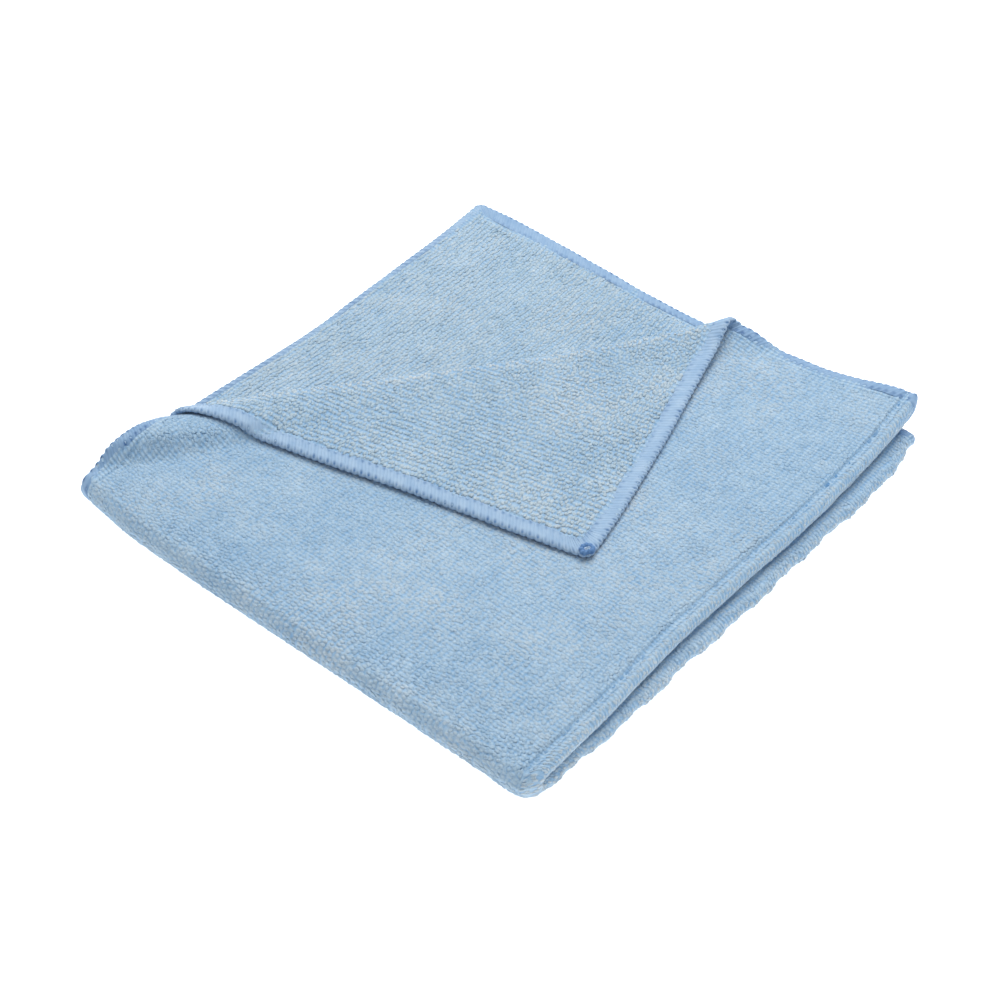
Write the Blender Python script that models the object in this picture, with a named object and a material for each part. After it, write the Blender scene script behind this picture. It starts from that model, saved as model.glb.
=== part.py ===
"""A microfibre cloth, folded in quarters, with the back-left corner of its top layer turned back.

Units are metres and +Z is up. The cloth lies on z = 0, with the middle of its footprint at the origin.

The cloth is cut once, as a flat slab, and its points are then carried through the folds in the order in which
a hand makes them. A flat point has three coordinates:
  across     0 at the left hem of the outer layers, through the first fold, to the left hem of the inner ones
  along      0 at the back hem of the lower pair, through the second fold, to the back hem of the upper pair
  outward    height over the middle of the slab, towards the face that the first fold leaves outside
The first fold is the right side (+X), the second is the front (-Y). The layers from the surface up are
lower outer, lower inner, upper inner and upper outer.
"""

import math
from collections import namedtuple

import bmesh
import bpy
from mathutils import Vector

MM = 0.001

# The cloth
THICKNESS = 2.4 * MM
LAYER_GAP = 0.5 * MM
HEM_WIDTH = 5.6 * MM
HEM_THICKNESS = 1.9 * MM
RIM_THICKNESS = 1.0 * MM
RIM_WIDTH = 0.8 * MM
HEM_STEP = 1.0 * MM

# The folded square, before its layers drift
LEFT_HEM_X = -100.0 * MM
FIRST_FOLD_X = 99.8 * MM
BACK_HEM_Y = 105.0 * MM
SECOND_FOLD_Y = -104.6 * MM

FIRST_RADIUS = (THICKNESS + LAYER_GAP) / 2
PAIR_THICKNESS = 2 * THICKNESS + LAYER_GAP
SECOND_AXIS_Z = PAIR_THICKNESS + LAYER_GAP / 2
SECOND_RADIUS = SECOND_AXIS_Z - PAIR_THICKNESS / 2

STRAIGHT_ACROSS = FIRST_FOLD_X - LEFT_HEM_X
STRAIGHT_ALONG = BACK_HEM_Y - SECOND_FOLD_Y
FLAT_ACROSS = 2 * STRAIGHT_ACROSS + math.pi * FIRST_RADIUS
FLAT_ALONG = 2 * STRAIGHT_ALONG + math.pi * SECOND_RADIUS

# The turned-back corner: its crease runs from the left hem to the back hem of the upper outer layer
CREASE_START = Vector((-100.0 * MM, -67.0 * MM))
CREASE_END = Vector((33.0 * MM, 105.0 * MM))
CREASE_ALONG = (CREASE_END - CREASE_START).normalized()
CREASE_ACROSS = Vector((-CREASE_ALONG.y, CREASE_ALONG.x))
CREASE_LENGTH = (CREASE_END - CREASE_START).length
HUMP_EASE = 0.15
FLAP_SETTLE = 55.0 * MM


def table(columns, scale, rows):
    """Rows of values with named columns. The first column is the place at which the others hold."""
    row_type = namedtuple("Row", columns)
    return [row_type(*(value * scale for value in row)) for row in rows]


# The crease, at places along it: the hump under it, which is so high at the crease, rises so far over that
# between the crease and the hump's foot, and is so wide, and the radius of the roll
CREASE_ROWS = table(
    "place hump crown width radius",
    MM,
    (
        (0, 2.6, 4.4, 21.4, 1.7),
        (22, 1.8, 2.2, 21.0, 1.8),
        (65, 0.6, 0.4, 18.0, 1.7),
        (130, 0.2, 0.0, 16.0, 1.5),
        (185, 1.4, -0.2, 14.0, 1.9),
        (218, 5.4, -0.8, 13.5, 2.6),
    ),
)

# How far the left hems and the right folds stand from the square, at places along Y
SIDE_ROWS = table(
    "y lower_hem outer_hem inner_hem lower_fold upper_fold",
    MM,
    (
        (-105, 0.0, 0.0, 0.0, 0.0, 0.0),
        (-68, -0.6, 1.4, 0.0, 2.6, 0.0),
        (-52, -1.0, -0.6, 0.0, 3.1, -0.5),
        (-32, -1.2, -2.2, 1.2, 3.4, -1.0),
        (0, 0.6, 0.0, 3.4, 5.2, 0.0),
        (40, 1.2, -0.6, 2.4, 5.8, 1.4),
        (75, 0.2, -2.0, 1.6, 7.2, 0.8),
        (105, -0.6, -2.6, -0.6, 4.4, -0.6),
    ),
)

# How far the back hems and the front fold stand from the square, at places along X
END_ROWS = table(
    "x lower_outer lower_inner upper_inner upper_outer front_fold",
    MM,
    (
        (-100, -1.0, 1.0, 2.0, -5.0, 3.4),
        (-88, -0.5, 0.8, 2.3, -4.2, 1.8),
        (-72, 0.2, 0.2, 2.2, -3.6, 0.2),
        (-40, 0.8, -0.6, 0.4, -3.2, -0.4),
        (0, 1.5, -1.0, -2.0, -3.0, -0.2),
        (50, -0.5, -2.0, -1.0, 0.6, 0.2),
        (82, -1.5, -1.2, 0.0, 4.0, 0.2),
        (98, -1.8, -1.6, 0.8, 6.2, 0.4),
        (103, -2.0, -2.0, 1.0, 7.0, 4.6),
    ),
)
FRONT_REACH = 34.0 * MM

# The upper fold stands open at its back end
PUFF_HEIGHT = 5.0 * MM
PUFF_CENTRE = Vector((100.0 * MM, 112.0 * MM))
PUFF_REACH = 38.0 * MM

# The pile parts in a groove beside the upper fold
GROOVE_X = 97.6 * MM
GROOVE_HALF_WIDTH = 1.8 * MM
GROOVE_DEPTH = 0.7 * MM

# The lower fold's outline is bumpy
BUMP_HEIGHT = 0.5 * MM
BUMP_PITCH = 27.0 * MM
BUMP_DEPTH = 30.0 * MM

# The middle of the footprint, measured in the square's own coordinates
FOOTPRINT_MIDDLE = Vector((4.17 * MM, 0.46 * MM, 0.0))

# The lines that the slab is cut on
CELL = 14.5 * MM
FOLD_STEPS = 8
CREASE_STEPS = 8
HUMP_STEPS = 4
CUT_TOLERANCE = 0.0001 * MM

SHARP_ANGLE = math.radians(50)
COLOUR = (0.36, 0.52, 0.66, 1.0)
ROUGHNESS = 0.95


def smooth(share):
    """0 to 1 with level ends, and held at its ends outside them."""
    share = min(max(share, 0.0), 1.0)
    return share * share * (3 - 2 * share)


def blend(start, end, share):
    return start + (end - start) * share


def read_table(rows, column, at):
    """The column's value at a place between the rows, on a smooth curve through them."""
    places = [row[0] for row in rows]
    values = [getattr(row, column) for row in rows]
    at = min(max(at, places[0]), places[-1])
    right = next(i for i in range(1, len(rows)) if at <= places[i])
    left = right - 1
    width = places[right] - places[left]
    before, after = max(left - 1, 0), min(right + 1, len(rows) - 1)
    left_slope = (values[right] - values[before]) / (places[right] - places[before])
    right_slope = (values[after] - values[left]) / (places[after] - places[left])
    share = (at - places[left]) / width
    leave = share * (1 - share) ** 2 * width * left_slope
    arrive = share * share * (share - 1) * width * right_slope
    return blend(values[left], values[right], smooth(share)) + leave + arrive


def half_thickness(across, along):
    """The slab is thinner in its hem, and rounds off at its rim."""
    inset = min(across, FLAT_ACROSS - across, along, FLAT_ALONG - along)
    if inset < RIM_WIDTH:
        return blend(RIM_THICKNESS, HEM_THICKNESS, max(inset, 0.0) / RIM_WIDTH) / 2
    share = min(max((inset - HEM_WIDTH) / HEM_STEP, 0.0), 1.0)
    return blend(HEM_THICKNESS, THICKNESS, share) / 2


def first_fold(across, outward):
    """(x, height in the pair, how far round the fold) of a flat point. The outer layer is at the bottom."""
    turned = (across - STRAIGHT_ACROSS) / FIRST_RADIUS
    if turned <= 0:
        return LEFT_HEM_X + across, THICKNESS / 2 - outward, 0.0
    if turned >= math.pi:
        x = FIRST_FOLD_X - (across - STRAIGHT_ACROSS - math.pi * FIRST_RADIUS)
        return x, THICKNESS / 2 + 2 * FIRST_RADIUS + outward, 1.0
    x = FIRST_FOLD_X + (FIRST_RADIUS + outward) * math.sin(turned)
    height = THICKNESS / 2 + FIRST_RADIUS - (FIRST_RADIUS + outward) * math.cos(turned)
    return x, height, (1 - math.cos(turned)) / 2


def second_fold(along, height):
    """(y, z, how far round the fold) of a point at a height in the pair."""
    turned = (along - STRAIGHT_ALONG) / SECOND_RADIUS
    radius = SECOND_AXIS_Z - height
    if turned <= 0:
        return BACK_HEM_Y - along, height, 0.0
    if turned >= math.pi:
        y = SECOND_FOLD_Y + (along - STRAIGHT_ALONG - math.pi * SECOND_RADIUS)
        return y, SECOND_AXIS_Z + radius, 1.0
    y = SECOND_FOLD_Y - radius * math.sin(turned)
    return y, SECOND_AXIS_Z - radius * math.cos(turned), (1 - math.cos(turned)) / 2


def drift(x, y, inner, upper):
    """How far the hand left this point from the square, in x and y."""
    near_fold = smooth(1 - (FIRST_FOLD_X - x) / BUMP_DEPTH)
    bump = BUMP_HEIGHT * math.sin(2 * math.pi * y / BUMP_PITCH) * near_fold
    lower_fold = read_table(SIDE_ROWS, "lower_fold", y) + bump
    right = blend(lower_fold, read_table(SIDE_ROWS, "upper_fold", y), upper)
    outer_hem = read_table(SIDE_ROWS, "outer_hem", y)
    upper_hem = blend(outer_hem, read_table(SIDE_ROWS, "inner_hem", y), inner)
    left = blend(read_table(SIDE_ROWS, "lower_hem", y), upper_hem, upper)
    share = (x - LEFT_HEM_X) / (FIRST_FOLD_X - LEFT_HEM_X)
    shift_x = blend(left, right, share)

    lower = blend(read_table(END_ROWS, "lower_outer", x), read_table(END_ROWS, "lower_inner", x), inner)
    upper_end = blend(read_table(END_ROWS, "upper_outer", x), read_table(END_ROWS, "upper_inner", x), inner)
    share = max((y - SECOND_FOLD_Y) / (BACK_HEM_Y - SECOND_FOLD_Y), 0.0)
    front = read_table(END_ROWS, "front_fold", x) * smooth(1 - (y - SECOND_FOLD_Y) / FRONT_REACH)
    return shift_x, blend(lower, upper_end, upper) * share + front


def puff(x, y, inner, upper):
    """The lift of the upper fold's open end."""
    distance = (Vector((x, y)) - PUFF_CENTRE).length
    return PUFF_HEIGHT * smooth(1 - distance / PUFF_REACH) * (1 - inner) * upper


def groove(x, outward, inner, upper):
    """How deep the outer face sinks beside the upper fold."""
    depth = GROOVE_DEPTH * smooth(1 - abs(x - GROOVE_X) / GROOVE_HALF_WIDTH)
    return depth * (1 - inner) * upper * max(outward, 0.0) / (THICKNESS / 2)


def hump(place, distance):
    """The lift of the layer at a distance from the crease."""
    share = max(1 - distance / read_table(CREASE_ROWS, "width", place), 0.0)
    rise = read_table(CREASE_ROWS, "hump", place) * smooth(share)
    bulge = read_table(CREASE_ROWS, "crown", place) * 4 * share * (1 - share)
    return (rise + bulge) * smooth(share / HUMP_EASE)


def turn_back(x, y, outward):
    """The upper outer layer, with its corner rolled over the crease and laid down on the layer itself."""
    from_start = Vector((x, y)) - CREASE_START
    place = from_start.dot(CREASE_ALONG)
    past = from_start.dot(CREASE_ACROSS)
    radius = read_table(CREASE_ROWS, "radius", place)
    middle_z = 2 * SECOND_AXIS_Z - THICKNESS / 2
    on_crease = CREASE_START + place * CREASE_ALONG
    turned = past / radius
    if turned <= 0:
        return x, y, middle_z + hump(place, -past) + outward
    if turned < math.pi:
        spot = on_crease + (radius - outward) * math.sin(turned) * CREASE_ACROSS
        return spot.x, spot.y, middle_z + hump(place, 0.0) + radius - (radius - outward) * math.cos(turned)
    back = past - math.pi * radius
    spot = on_crease - back * CREASE_ACROSS
    rest = THICKNESS + LAYER_GAP
    lift = rest + (2 * radius - rest) * smooth(1 - back / FLAP_SETTLE)
    return spot.x, spot.y, middle_z + hump(place, back) + lift - outward


def fold(across, along, outward):
    """A flat point's place in the folded cloth."""
    x, height, inner = first_fold(across, outward)
    y, z, upper = second_fold(along, height)
    shift_x, shift_y = drift(x, y, inner, upper)
    lift = puff(x, y, inner, upper) - groove(x, outward, inner, upper)
    x += shift_x
    y += shift_y
    if inner == 0.0 and upper == 1.0:
        x, y, z = turn_back(x, y, outward)
    return Vector((x, y, z + lift)) - FOOTPRINT_MIDDLE


def lines(start, end, longest):
    """Evenly spaced places from start to end, both included."""
    steps = max(1, math.ceil((end - start) / longest))
    return [blend(start, end, step / steps) for step in range(steps + 1)]


def hem_lines(length):
    """Cuts that follow the rim and the hem at both ends of a side."""
    near = (RIM_WIDTH, HEM_WIDTH, HEM_WIDTH + HEM_STEP)
    return [*near, *(length - place for place in near)]


def fold_lines(straight, radius):
    return [straight + math.pi * radius * step / FOLD_STEPS for step in range(FOLD_STEPS + 1)]


def groove_lines():
    """Cuts along the middle and the two edges of the groove."""
    middle = GROOVE_X - LEFT_HEM_X
    return [middle - GROOVE_HALF_WIDTH, middle, middle + GROOVE_HALF_WIDTH]


def side_cuts(straight, radius, length):
    """All the cuts across one side of the flat cloth."""
    inset = HEM_WIDTH + HEM_STEP
    first = lines(inset, straight, CELL)[1:-1]
    second = [length - place for place in first]
    return sorted([*hem_lines(length), *fold_lines(straight, radius), *first, *second])


def crease_cuts():
    """Distances past the crease's start at which the upper outer layer is cut, parallel to the crease."""
    widest = max(row.radius for row in CREASE_ROWS)
    roll = math.pi * widest
    widest_hump = max(row.width for row in CREASE_ROWS)
    before = [-widest_hump * step / HUMP_STEPS for step in range(1, HUMP_STEPS + 1)]
    around = [roll * step / CREASE_STEPS for step in range(CREASE_STEPS + 1)]
    after = [roll + widest_hump * step / HUMP_STEPS for step in range(1, HUMP_STEPS + 1)]
    return [*before, *around, *after]


def flat_of(point):
    """The flat place of a point of the upper outer layer, given where it lies in the square."""
    return Vector((point.x - LEFT_HEM_X, FLAT_ALONG - (BACK_HEM_Y - point.y), 0.0))


def cut(cloth, faces, place, normal):
    """Cuts the faces on a line of the flat cloth."""
    edges = {edge for face in faces for edge in face.edges}
    corners = {corner for face in faces for corner in face.verts}
    bmesh.ops.bisect_plane(
        cloth, geom=[*faces, *edges, *corners], dist=CUT_TOLERANCE, plane_co=place, plane_no=normal
    )


def cut_sheet():
    """The flat cloth, cut on every line that the folds need."""
    cloth = bmesh.new()
    rim = ((0, 0), (FLAT_ACROSS, 0), (FLAT_ACROSS, FLAT_ALONG), (0, FLAT_ALONG))
    cloth.faces.new([cloth.verts.new((across, along, 0.0)) for across, along in rim])
    for place in side_cuts(STRAIGHT_ACROSS, FIRST_RADIUS, FLAT_ACROSS) + groove_lines():
        cut(cloth, cloth.faces[:], Vector((place, 0, 0)), Vector((1, 0, 0)))
    for place in side_cuts(STRAIGHT_ALONG, SECOND_RADIUS, FLAT_ALONG):
        cut(cloth, cloth.faces[:], Vector((0, place, 0)), Vector((0, 1, 0)))
    start = flat_of(CREASE_START)
    normal = Vector((CREASE_ACROSS.x, CREASE_ACROSS.y, 0.0))
    for past in crease_cuts():
        quarter = [face for face in cloth.faces if in_upper_outer(face.calc_center_median())]
        cut(cloth, quarter, start + past * normal, normal)
    return cloth


def in_upper_outer(place):
    return place.x < STRAIGHT_ACROSS and place.y > FLAT_ALONG - STRAIGHT_ALONG


def thicken(cloth):
    """Turns the cut sheet into a slab, and keeps which of its two faces each point is on in its z."""
    bmesh.ops.recalc_face_normals(cloth, faces=cloth.faces[:])
    lower = cloth.verts[:]
    upper = bmesh.ops.extrude_face_region(cloth, geom=cloth.faces[:], use_keep_orig=True)["geom"]
    for point in lower:
        point.co.z = -1.0
    for point in upper:
        if isinstance(point, bmesh.types.BMVert):
            point.co.z = 1.0


def fold_slab(cloth):
    for point in cloth.verts:
        across, along, side = point.co
        point.co = fold(across, along, side * half_thickness(across, along))


def fabric_material():
    material = bpy.data.materials.new("pale_blue_microfibre")
    material.use_nodes = True
    shader = material.node_tree.nodes["Principled BSDF"]
    shader.inputs["Base Color"].default_value = COLOUR
    shader.inputs["Roughness"].default_value = ROUGHNESS
    shader.inputs["Metallic"].default_value = 0.0
    return material


def make_cloth():
    cloth = cut_sheet()
    thicken(cloth)
    fold_slab(cloth)
    bmesh.ops.triangulate(cloth, faces=cloth.faces[:])
    bmesh.ops.recalc_face_normals(cloth, faces=cloth.faces[:])
    mesh = bpy.data.meshes.new("cloth")
    cloth.to_mesh(mesh)
    cloth.free()
    mesh.materials.append(fabric_material())
    mesh.shade_smooth()
    mesh.set_sharp_from_angle(angle=SHARP_ANGLE)
    thing = bpy.data.objects.new("cloth", mesh)
    bpy.context.scene.collection.objects.link(thing)
    return thing


def main():
    for thing in list(bpy.data.objects):
        bpy.data.objects.remove(thing, do_unlink=True)
    make_cloth()


main()
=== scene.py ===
"""The looks of a folded terry microfibre cloth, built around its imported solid.

Everything on the cloth is laid out flat first: the sheet, the tufts of its pile and the threads of its hem.
All of it is then carried through the same folds, so the pile and the stitches follow the cloth wherever it
goes. A flat point has three coordinates:
  across     0 at the left hem of the outer layers, through the first fold, to the left hem of the inner ones
  along      0 at the back hem of the lower pair, through the second fold, to the back hem of the upper pair
  outward    height over the middle of the sheet, towards the face that the first fold leaves outside
The face with outward above 0 is the outer face, side 1, and the other is the inner face, side -1.
"""

import math
from collections import namedtuple

import bmesh
import bpy
import numpy as np
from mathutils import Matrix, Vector


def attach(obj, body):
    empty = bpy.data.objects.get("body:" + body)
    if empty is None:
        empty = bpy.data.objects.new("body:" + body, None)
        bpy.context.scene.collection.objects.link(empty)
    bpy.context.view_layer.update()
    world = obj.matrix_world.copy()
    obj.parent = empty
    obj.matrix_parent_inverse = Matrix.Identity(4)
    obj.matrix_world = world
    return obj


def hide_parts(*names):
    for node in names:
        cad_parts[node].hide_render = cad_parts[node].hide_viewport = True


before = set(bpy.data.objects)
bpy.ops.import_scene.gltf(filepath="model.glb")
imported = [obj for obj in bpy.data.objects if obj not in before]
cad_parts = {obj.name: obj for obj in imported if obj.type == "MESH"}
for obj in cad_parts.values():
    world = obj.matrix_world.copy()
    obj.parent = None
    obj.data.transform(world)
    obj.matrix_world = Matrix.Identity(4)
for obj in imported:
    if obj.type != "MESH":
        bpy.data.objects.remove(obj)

bl_info = {
    "name": "Folded microfibre cloth",
    "version": (1, 0, 0),
    "blender": (4, 5, 0),
    "location": "3D View > Sidebar > Cloth",
    "description": "Builds a folded terry microfibre cloth with its pile and its overlocked hem",
    "category": "Add Mesh",
}

MM = 0.001
NODE = "cloth"
BODY = "root"
BAKE_MAP = "OFBake"
FLAT_MAP = "flat"

# The sheet and its folds, at the solid's sizes. The rounding of its corners is added here.
THICKNESS = 2.4 * MM
LAYER_GAP = 0.5 * MM
HEM_WIDTH = 5.6 * MM
HEM_THICKNESS = 1.9 * MM
RIM_THICKNESS = 1.0 * MM
RIM_WIDTH = 0.8 * MM
HEM_STEP = 1.0 * MM
CORNER_RADIUS = 2.6 * MM
LEFT_HEM_X = -100.0 * MM
FIRST_FOLD_X = 99.8 * MM
BACK_HEM_Y = 105.0 * MM
SECOND_FOLD_Y = -104.6 * MM
FOOTPRINT_MIDDLE = np.array((4.17 * MM, 0.46 * MM, 0.0))

FIRST_RADIUS = (THICKNESS + LAYER_GAP) / 2
PAIR_THICKNESS = 2 * THICKNESS + LAYER_GAP
SECOND_AXIS_Z = PAIR_THICKNESS + LAYER_GAP / 2
SECOND_RADIUS = SECOND_AXIS_Z - PAIR_THICKNESS / 2
STRAIGHT_ACROSS = FIRST_FOLD_X - LEFT_HEM_X
STRAIGHT_ALONG = BACK_HEM_Y - SECOND_FOLD_Y
FIRST_BEND = math.pi * FIRST_RADIUS
SECOND_BEND = math.pi * SECOND_RADIUS
INNER_START = STRAIGHT_ACROSS + FIRST_BEND
UPPER_START = STRAIGHT_ALONG + SECOND_BEND
FLAT_ACROSS = INNER_START + STRAIGHT_ACROSS
FLAT_ALONG = UPPER_START + STRAIGHT_ALONG

# The turned-back corner. Its hump eases out more softly than the solid's, and its hem droops a little.
CREASE_START = np.array((-100.0 * MM, -67.0 * MM))
CREASE_END = np.array((33.0 * MM, 105.0 * MM))
CREASE_LENGTH = float(np.linalg.norm(CREASE_END - CREASE_START))
CREASE_ALONG = (CREASE_END - CREASE_START) / CREASE_LENGTH
CREASE_ACROSS = np.array((-CREASE_ALONG[1], CREASE_ALONG[0]))
HUMP_EASE = 0.35
FLAP_SETTLE = 55.0 * MM
HEM_DROOP = 0.45 * MM
DROOP_REACH = 9.0 * MM

# How the hand left the folds: the drift of the front one, the lift of the upper fold's open end, the groove
# beside that fold, a little deeper than the solid's, and the bumps of the lower fold
FRONT_REACH = 34.0 * MM
PUFF_HEIGHT = 5.0 * MM
PUFF_CENTRE = (100.0 * MM, 112.0 * MM)
PUFF_REACH = 38.0 * MM
GROOVE_X = 97.6 * MM
GROOVE_ACROSS = GROOVE_X - LEFT_HEM_X
GROOVE_HALF_WIDTH = 1.8 * MM
GROOVE_DEPTH = 1.0 * MM
BUMP_HEIGHT = 0.5 * MM
BUMP_PITCH = 27.0 * MM
SMALL_BUMP_PITCH = 9.3 * MM
SMALL_BUMP_SHARE = 0.6
BUMP_DEPTH = 30.0 * MM

# How finely the sheet is cut
CELL = 2.25 * MM
LOWER_CELL = 2.8 * MM
FOLD_STEPS = 14
CREASE_STEPS = 14
RIM_CUT = 0.35 * MM
BAND_CUT = 2.0 * MM
GROOVE_CUTS = (-1.0, -0.5, 0.0, 0.5, 1.0)
CUT_TOLERANCE = 0.0001 * MM

# The sheet's baked map: a column for each face, and a narrow strip for each side of the rim
MAP_LEFT = 0.01
MAP_FOOT = 0.03
MAP_HEIGHT = 0.94
MAP_FACE_WIDTH = 0.46
MAP_FACE_STEP = 0.48
RIM_MAP_LEFT = 0.965
RIM_MAP_STEP = 0.008
RIM_MAP_HALF_WIDTH = 0.002
RIM_LIMIT = 0.9

# Soft random hills over the flat cloth: how wide each is, and the seed of their heights
Hills = namedtuple("Hills", "cell seed")
WIDE_HILLS = Hills(11 * MM, 3)
SMALL_HILLS = Hills(4 * MM, 4)
PATCH_HILLS = Hills(14 * MM, 5)
SWING_HILLS = Hills(9 * MM, 6)
WOBBLE_HILLS = Hills(6 * MM, 9)
BESIDE_HEM_HILLS = Hills(5 * MM, 12)
LATTICE_SPARE = 4
LATTICE_END = 2.001

# The unevenness of the faces: slow rolling, ridges in patches beside the right fold, and the pile's partings
WIDE_ROLLING = 0.09 * MM
SMALL_ROLLING = 0.05 * MM
RIDGE_PITCH = 5.2 * MM
RIDGE_HEIGHT = 0.13 * MM
RIDGE_SWING = 1.5
PATCH_CONTRAST = 1.2
PARTING_DEPTH = 0.1
PARTING_WOBBLE = 0.7 * MM
PARTING_TAPER = 5

# A tuft's form, and how far tufts differ
TUFT_SIDES = 7
TUFT_SHOULDER = (0.6, 0.66)
TUFT_ROUGHNESS = 0.32
TUFT_ROOT = 0.1 * MM
HEIGHT_LIMITS = (0.55, 1.5)
WIDTH_LIMITS = (0.84, 1.16)
STRETCH_LIMITS = (0.8, 2.0)
SWELLING = 0.16
SWELLING_CELL = 9 * MM
MATTING = 0.2
MATTING_CELL = 8 * MM
LEAN_CELL = 15 * MM
LEAN_SPREAD = 0.5
COMBING = 0.12
WORN_LESS_ACROSS = 0.2
WORN_LESS_ALONG = 0.3
FRONT_TALLER = 0.4

# A tuft's cell of the baked map: the rings of the tuft seen from above, and its base beside it
TUFT_MAP_RING = 0.33
TUFT_MAP_SHOULDER = 0.2
TUFT_MAP_MIDDLE = (0.36, 0.5)
BASE_MAP_RING = 0.11
BASE_MAP_MIDDLE = (0.85, 0.5)

# Where the tufts stand, and how loosely
PILE_RAMP = 3.0 * MM
SIDE_RAMP = 0.5 * MM
FLOOR_TURN = math.radians(27)
UNDER_FLAP = 4.0 * MM
UNDER_ROLL = 4.0 * MM
UNDER_CREASE = 1.0 * MM
PILE_CLEARANCE = 0.5 * MM
OUTER_GROUND_END = INNER_START + 2.0 * MM
OUTER_PILE_END = INNER_START + 3.0 * MM
INNER_PILE_INSET = 2.4 * MM
INNER_PILE_START = UPPER_START + 1.0 * MM
SIDE_FOLD_REACH = 26.0 * MM
FRONT_FOLD_REACH = 22.0 * MM
FINE_PLACES = 20000
OUTER_LOOSENESS = 0.85
NEATER_AT_FOLDS = 0.35
LOOSER_WHERE_WORN = 0.35
CORNER_LOOSENESS = 0.6
UNCOVERED_LOOSENESS = 0.4

# Where tufts are painted pale: painted sheen on the rubbed right folds past the groove, painted highlight on
# the roll's crest
FOLD_STRIP_INSET = 0.8 * MM
FOLD_STRIP_END = INNER_START - 0.6 * MM
FOLD_STRIP_RAMP = 1.0 * MM
CREST_WIDTH = 1.8 * MM

# How much lighter or darker tufts are in these places, mostly painted light and shade
# Painted shade: partings, groove, front fold's top. Painted light: front fold's side, roll's crest. Painted
# shadow past the roll
PARTING_TONE = 80.0 / MM
GROOVE_TONE = 9.0
FRONT_TOP_TONE = -1.2
FRONT_SIDE_TONE = 2.5
BESIDE_HEM_TONE = 5.0
BESIDE_HEM = 1.6 * MM
CREST_TONE = 3.0
UNCOVERED_TONE = -1.0
ROLL_SHADE_TONE = 3.0
ROLL_SHADE_PAST = 4.0 * MM
ROLL_SHADE_WIDTH = 4.5 * MM

# The seeds of the tufts' places on each face, and of each pile's own differences
OUTER_SEED = 11
INNER_SEED = 12
PILE_SEEDS = {"outer_pile_front": 31, "outer_pile_back": 41, "corner_pile": 51, "uncovered_pile": 61}

# The hem
FINE_STEPS = 8
COARSE_STEPS = 3
SEEN_FROM = 0.45
OUTER_BAND = 4.4 * MM
BAND_RISE = 0.16 * MM
RIM_ROUND = 1.5 * MM
BEAD_POWER = 0.7
BEAD_RISE = 0.5
PIT_STRENGTH = 0.85
TICK_INSET = 0.55 * MM
TICK_LENGTH = 0.5 * MM
TICK_SHARE = 0.19
TICK_DEPTH = 0.28 * MM
NOTCH_INSET = 0.6 * MM
NOTCH_LENGTH = 0.6 * MM
NOTCH_SHARE = 0.26
OUTER_NOTCH_INSET = 1.0 * MM
OUTER_NOTCH = 1.3
INNER_NOTCH = 0.6
# Painted shade: a darker outer band, a darker back band on the uncovered layer, and under the turned-back
# corner's hem
OUTER_DARK = 1.2
BACK_DARK = 0.8
TUCKED_DARK = 0.8
THREAD_SLANT = 0.5
RAGGED_FROM = 3.0 * MM
CORNER_EASE = 14.0 * MM
HEM_MAP_STRIPS = 8
HEM_MAP_ENDS = 0.01
HEM_MAP_EDGES = 0.06

# Soft random changes along the hem: how much, over how many stitches each, and their seed
HemChange = namedtuple("HemChange", "amount stitches seed")
STITCH_DRIFT = HemChange(0.12, 3.0, 5)
PIT_CHANGE = HemChange(0.35, 1.0, 6)
HEM_WAVE = HemChange(0.18 * MM, 4.0, 7)
RAGGED_LINE = HemChange(0.22 * MM, 1.3, 8)
FEWEST_CHANGES = 4

# The knot at the turned-back corner: a wound coil with painted shade in its grooves, and a bead in its middle
# with a painted highlight
KNOT_INSET = 1.9 * MM
KNOT_LIFT = 0.35 * MM
KNOT_RINGS = 36
KNOT_SIDES = 10
KNOT_WINDING = 0.16
KNOT_PATTERN = 12 * MM
KNOT_MAP_MARGIN = 0.02
KNOT_MAP_LENGTH = 0.96
KNOT_MAP_WIDTH = 0.45
KNOT_MAP_STEP = 0.5
# The coil's grooves take painted shade, the bead a painted highlight, and the coil a little painted shade
KnotRing = namedtuple("KnotRing", "shift_across shift_along radius thread turns pit crest")
KNOT_COIL = KnotRing(0.0, 0.0, 1.8 * MM, 0.95 * MM, 9, 0.6, -0.2)
KNOT_BEAD = KnotRing(-0.1 * MM, 0.3 * MM, 0.5 * MM, 0.85 * MM, 3, 0.1, 3.0)


def table(columns, scale, rows):
    """Rows of values with named columns. The first column is the place at which the others hold."""
    row_type = namedtuple("Row", columns)
    return [row_type(*(value * scale for value in row)) for row in rows]


# The crease, at places along it: the hump under it, its rise and width, and the radius of the roll
CREASE_ROWS = table(
    "place hump crown width radius",
    MM,
    (
        (0, 1.3, 6.5, 22.5, 1.15),
        (22, 1.2, 3.2, 21.0, 1.5),
        (65, 0.6, 0.4, 18.0, 1.7),
        (130, 0.2, 0.0, 16.0, 1.5),
        (185, 1.2, -0.2, 14.5, 2.1),
        (218, 4.0, -0.8, 14.5, 3.3),
    ),
)

# How far the left hems and the right folds stand from the square, at places along Y
SIDE_ROWS = table(
    "y lower_hem outer_hem inner_hem lower_fold upper_fold",
    MM,
    (
        (-105, 0.0, 0.0, 0.0, 0.0, 0.0),
        (-68, -0.6, 1.4, 0.0, 2.6, 0.0),
        (-52, -1.0, 0.6, 0.0, 3.1, -0.5),
        (-32, -1.2, 1.2, 1.2, 3.4, -1.0),
        (0, 0.6, -0.2, 3.4, 5.2, 0.0),
        (40, 1.2, -0.6, 2.4, 5.8, 1.4),
        (75, 0.2, -2.0, 1.6, 7.2, 0.8),
        (105, -0.6, -2.6, -0.6, 4.4, -0.6),
    ),
)

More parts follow.
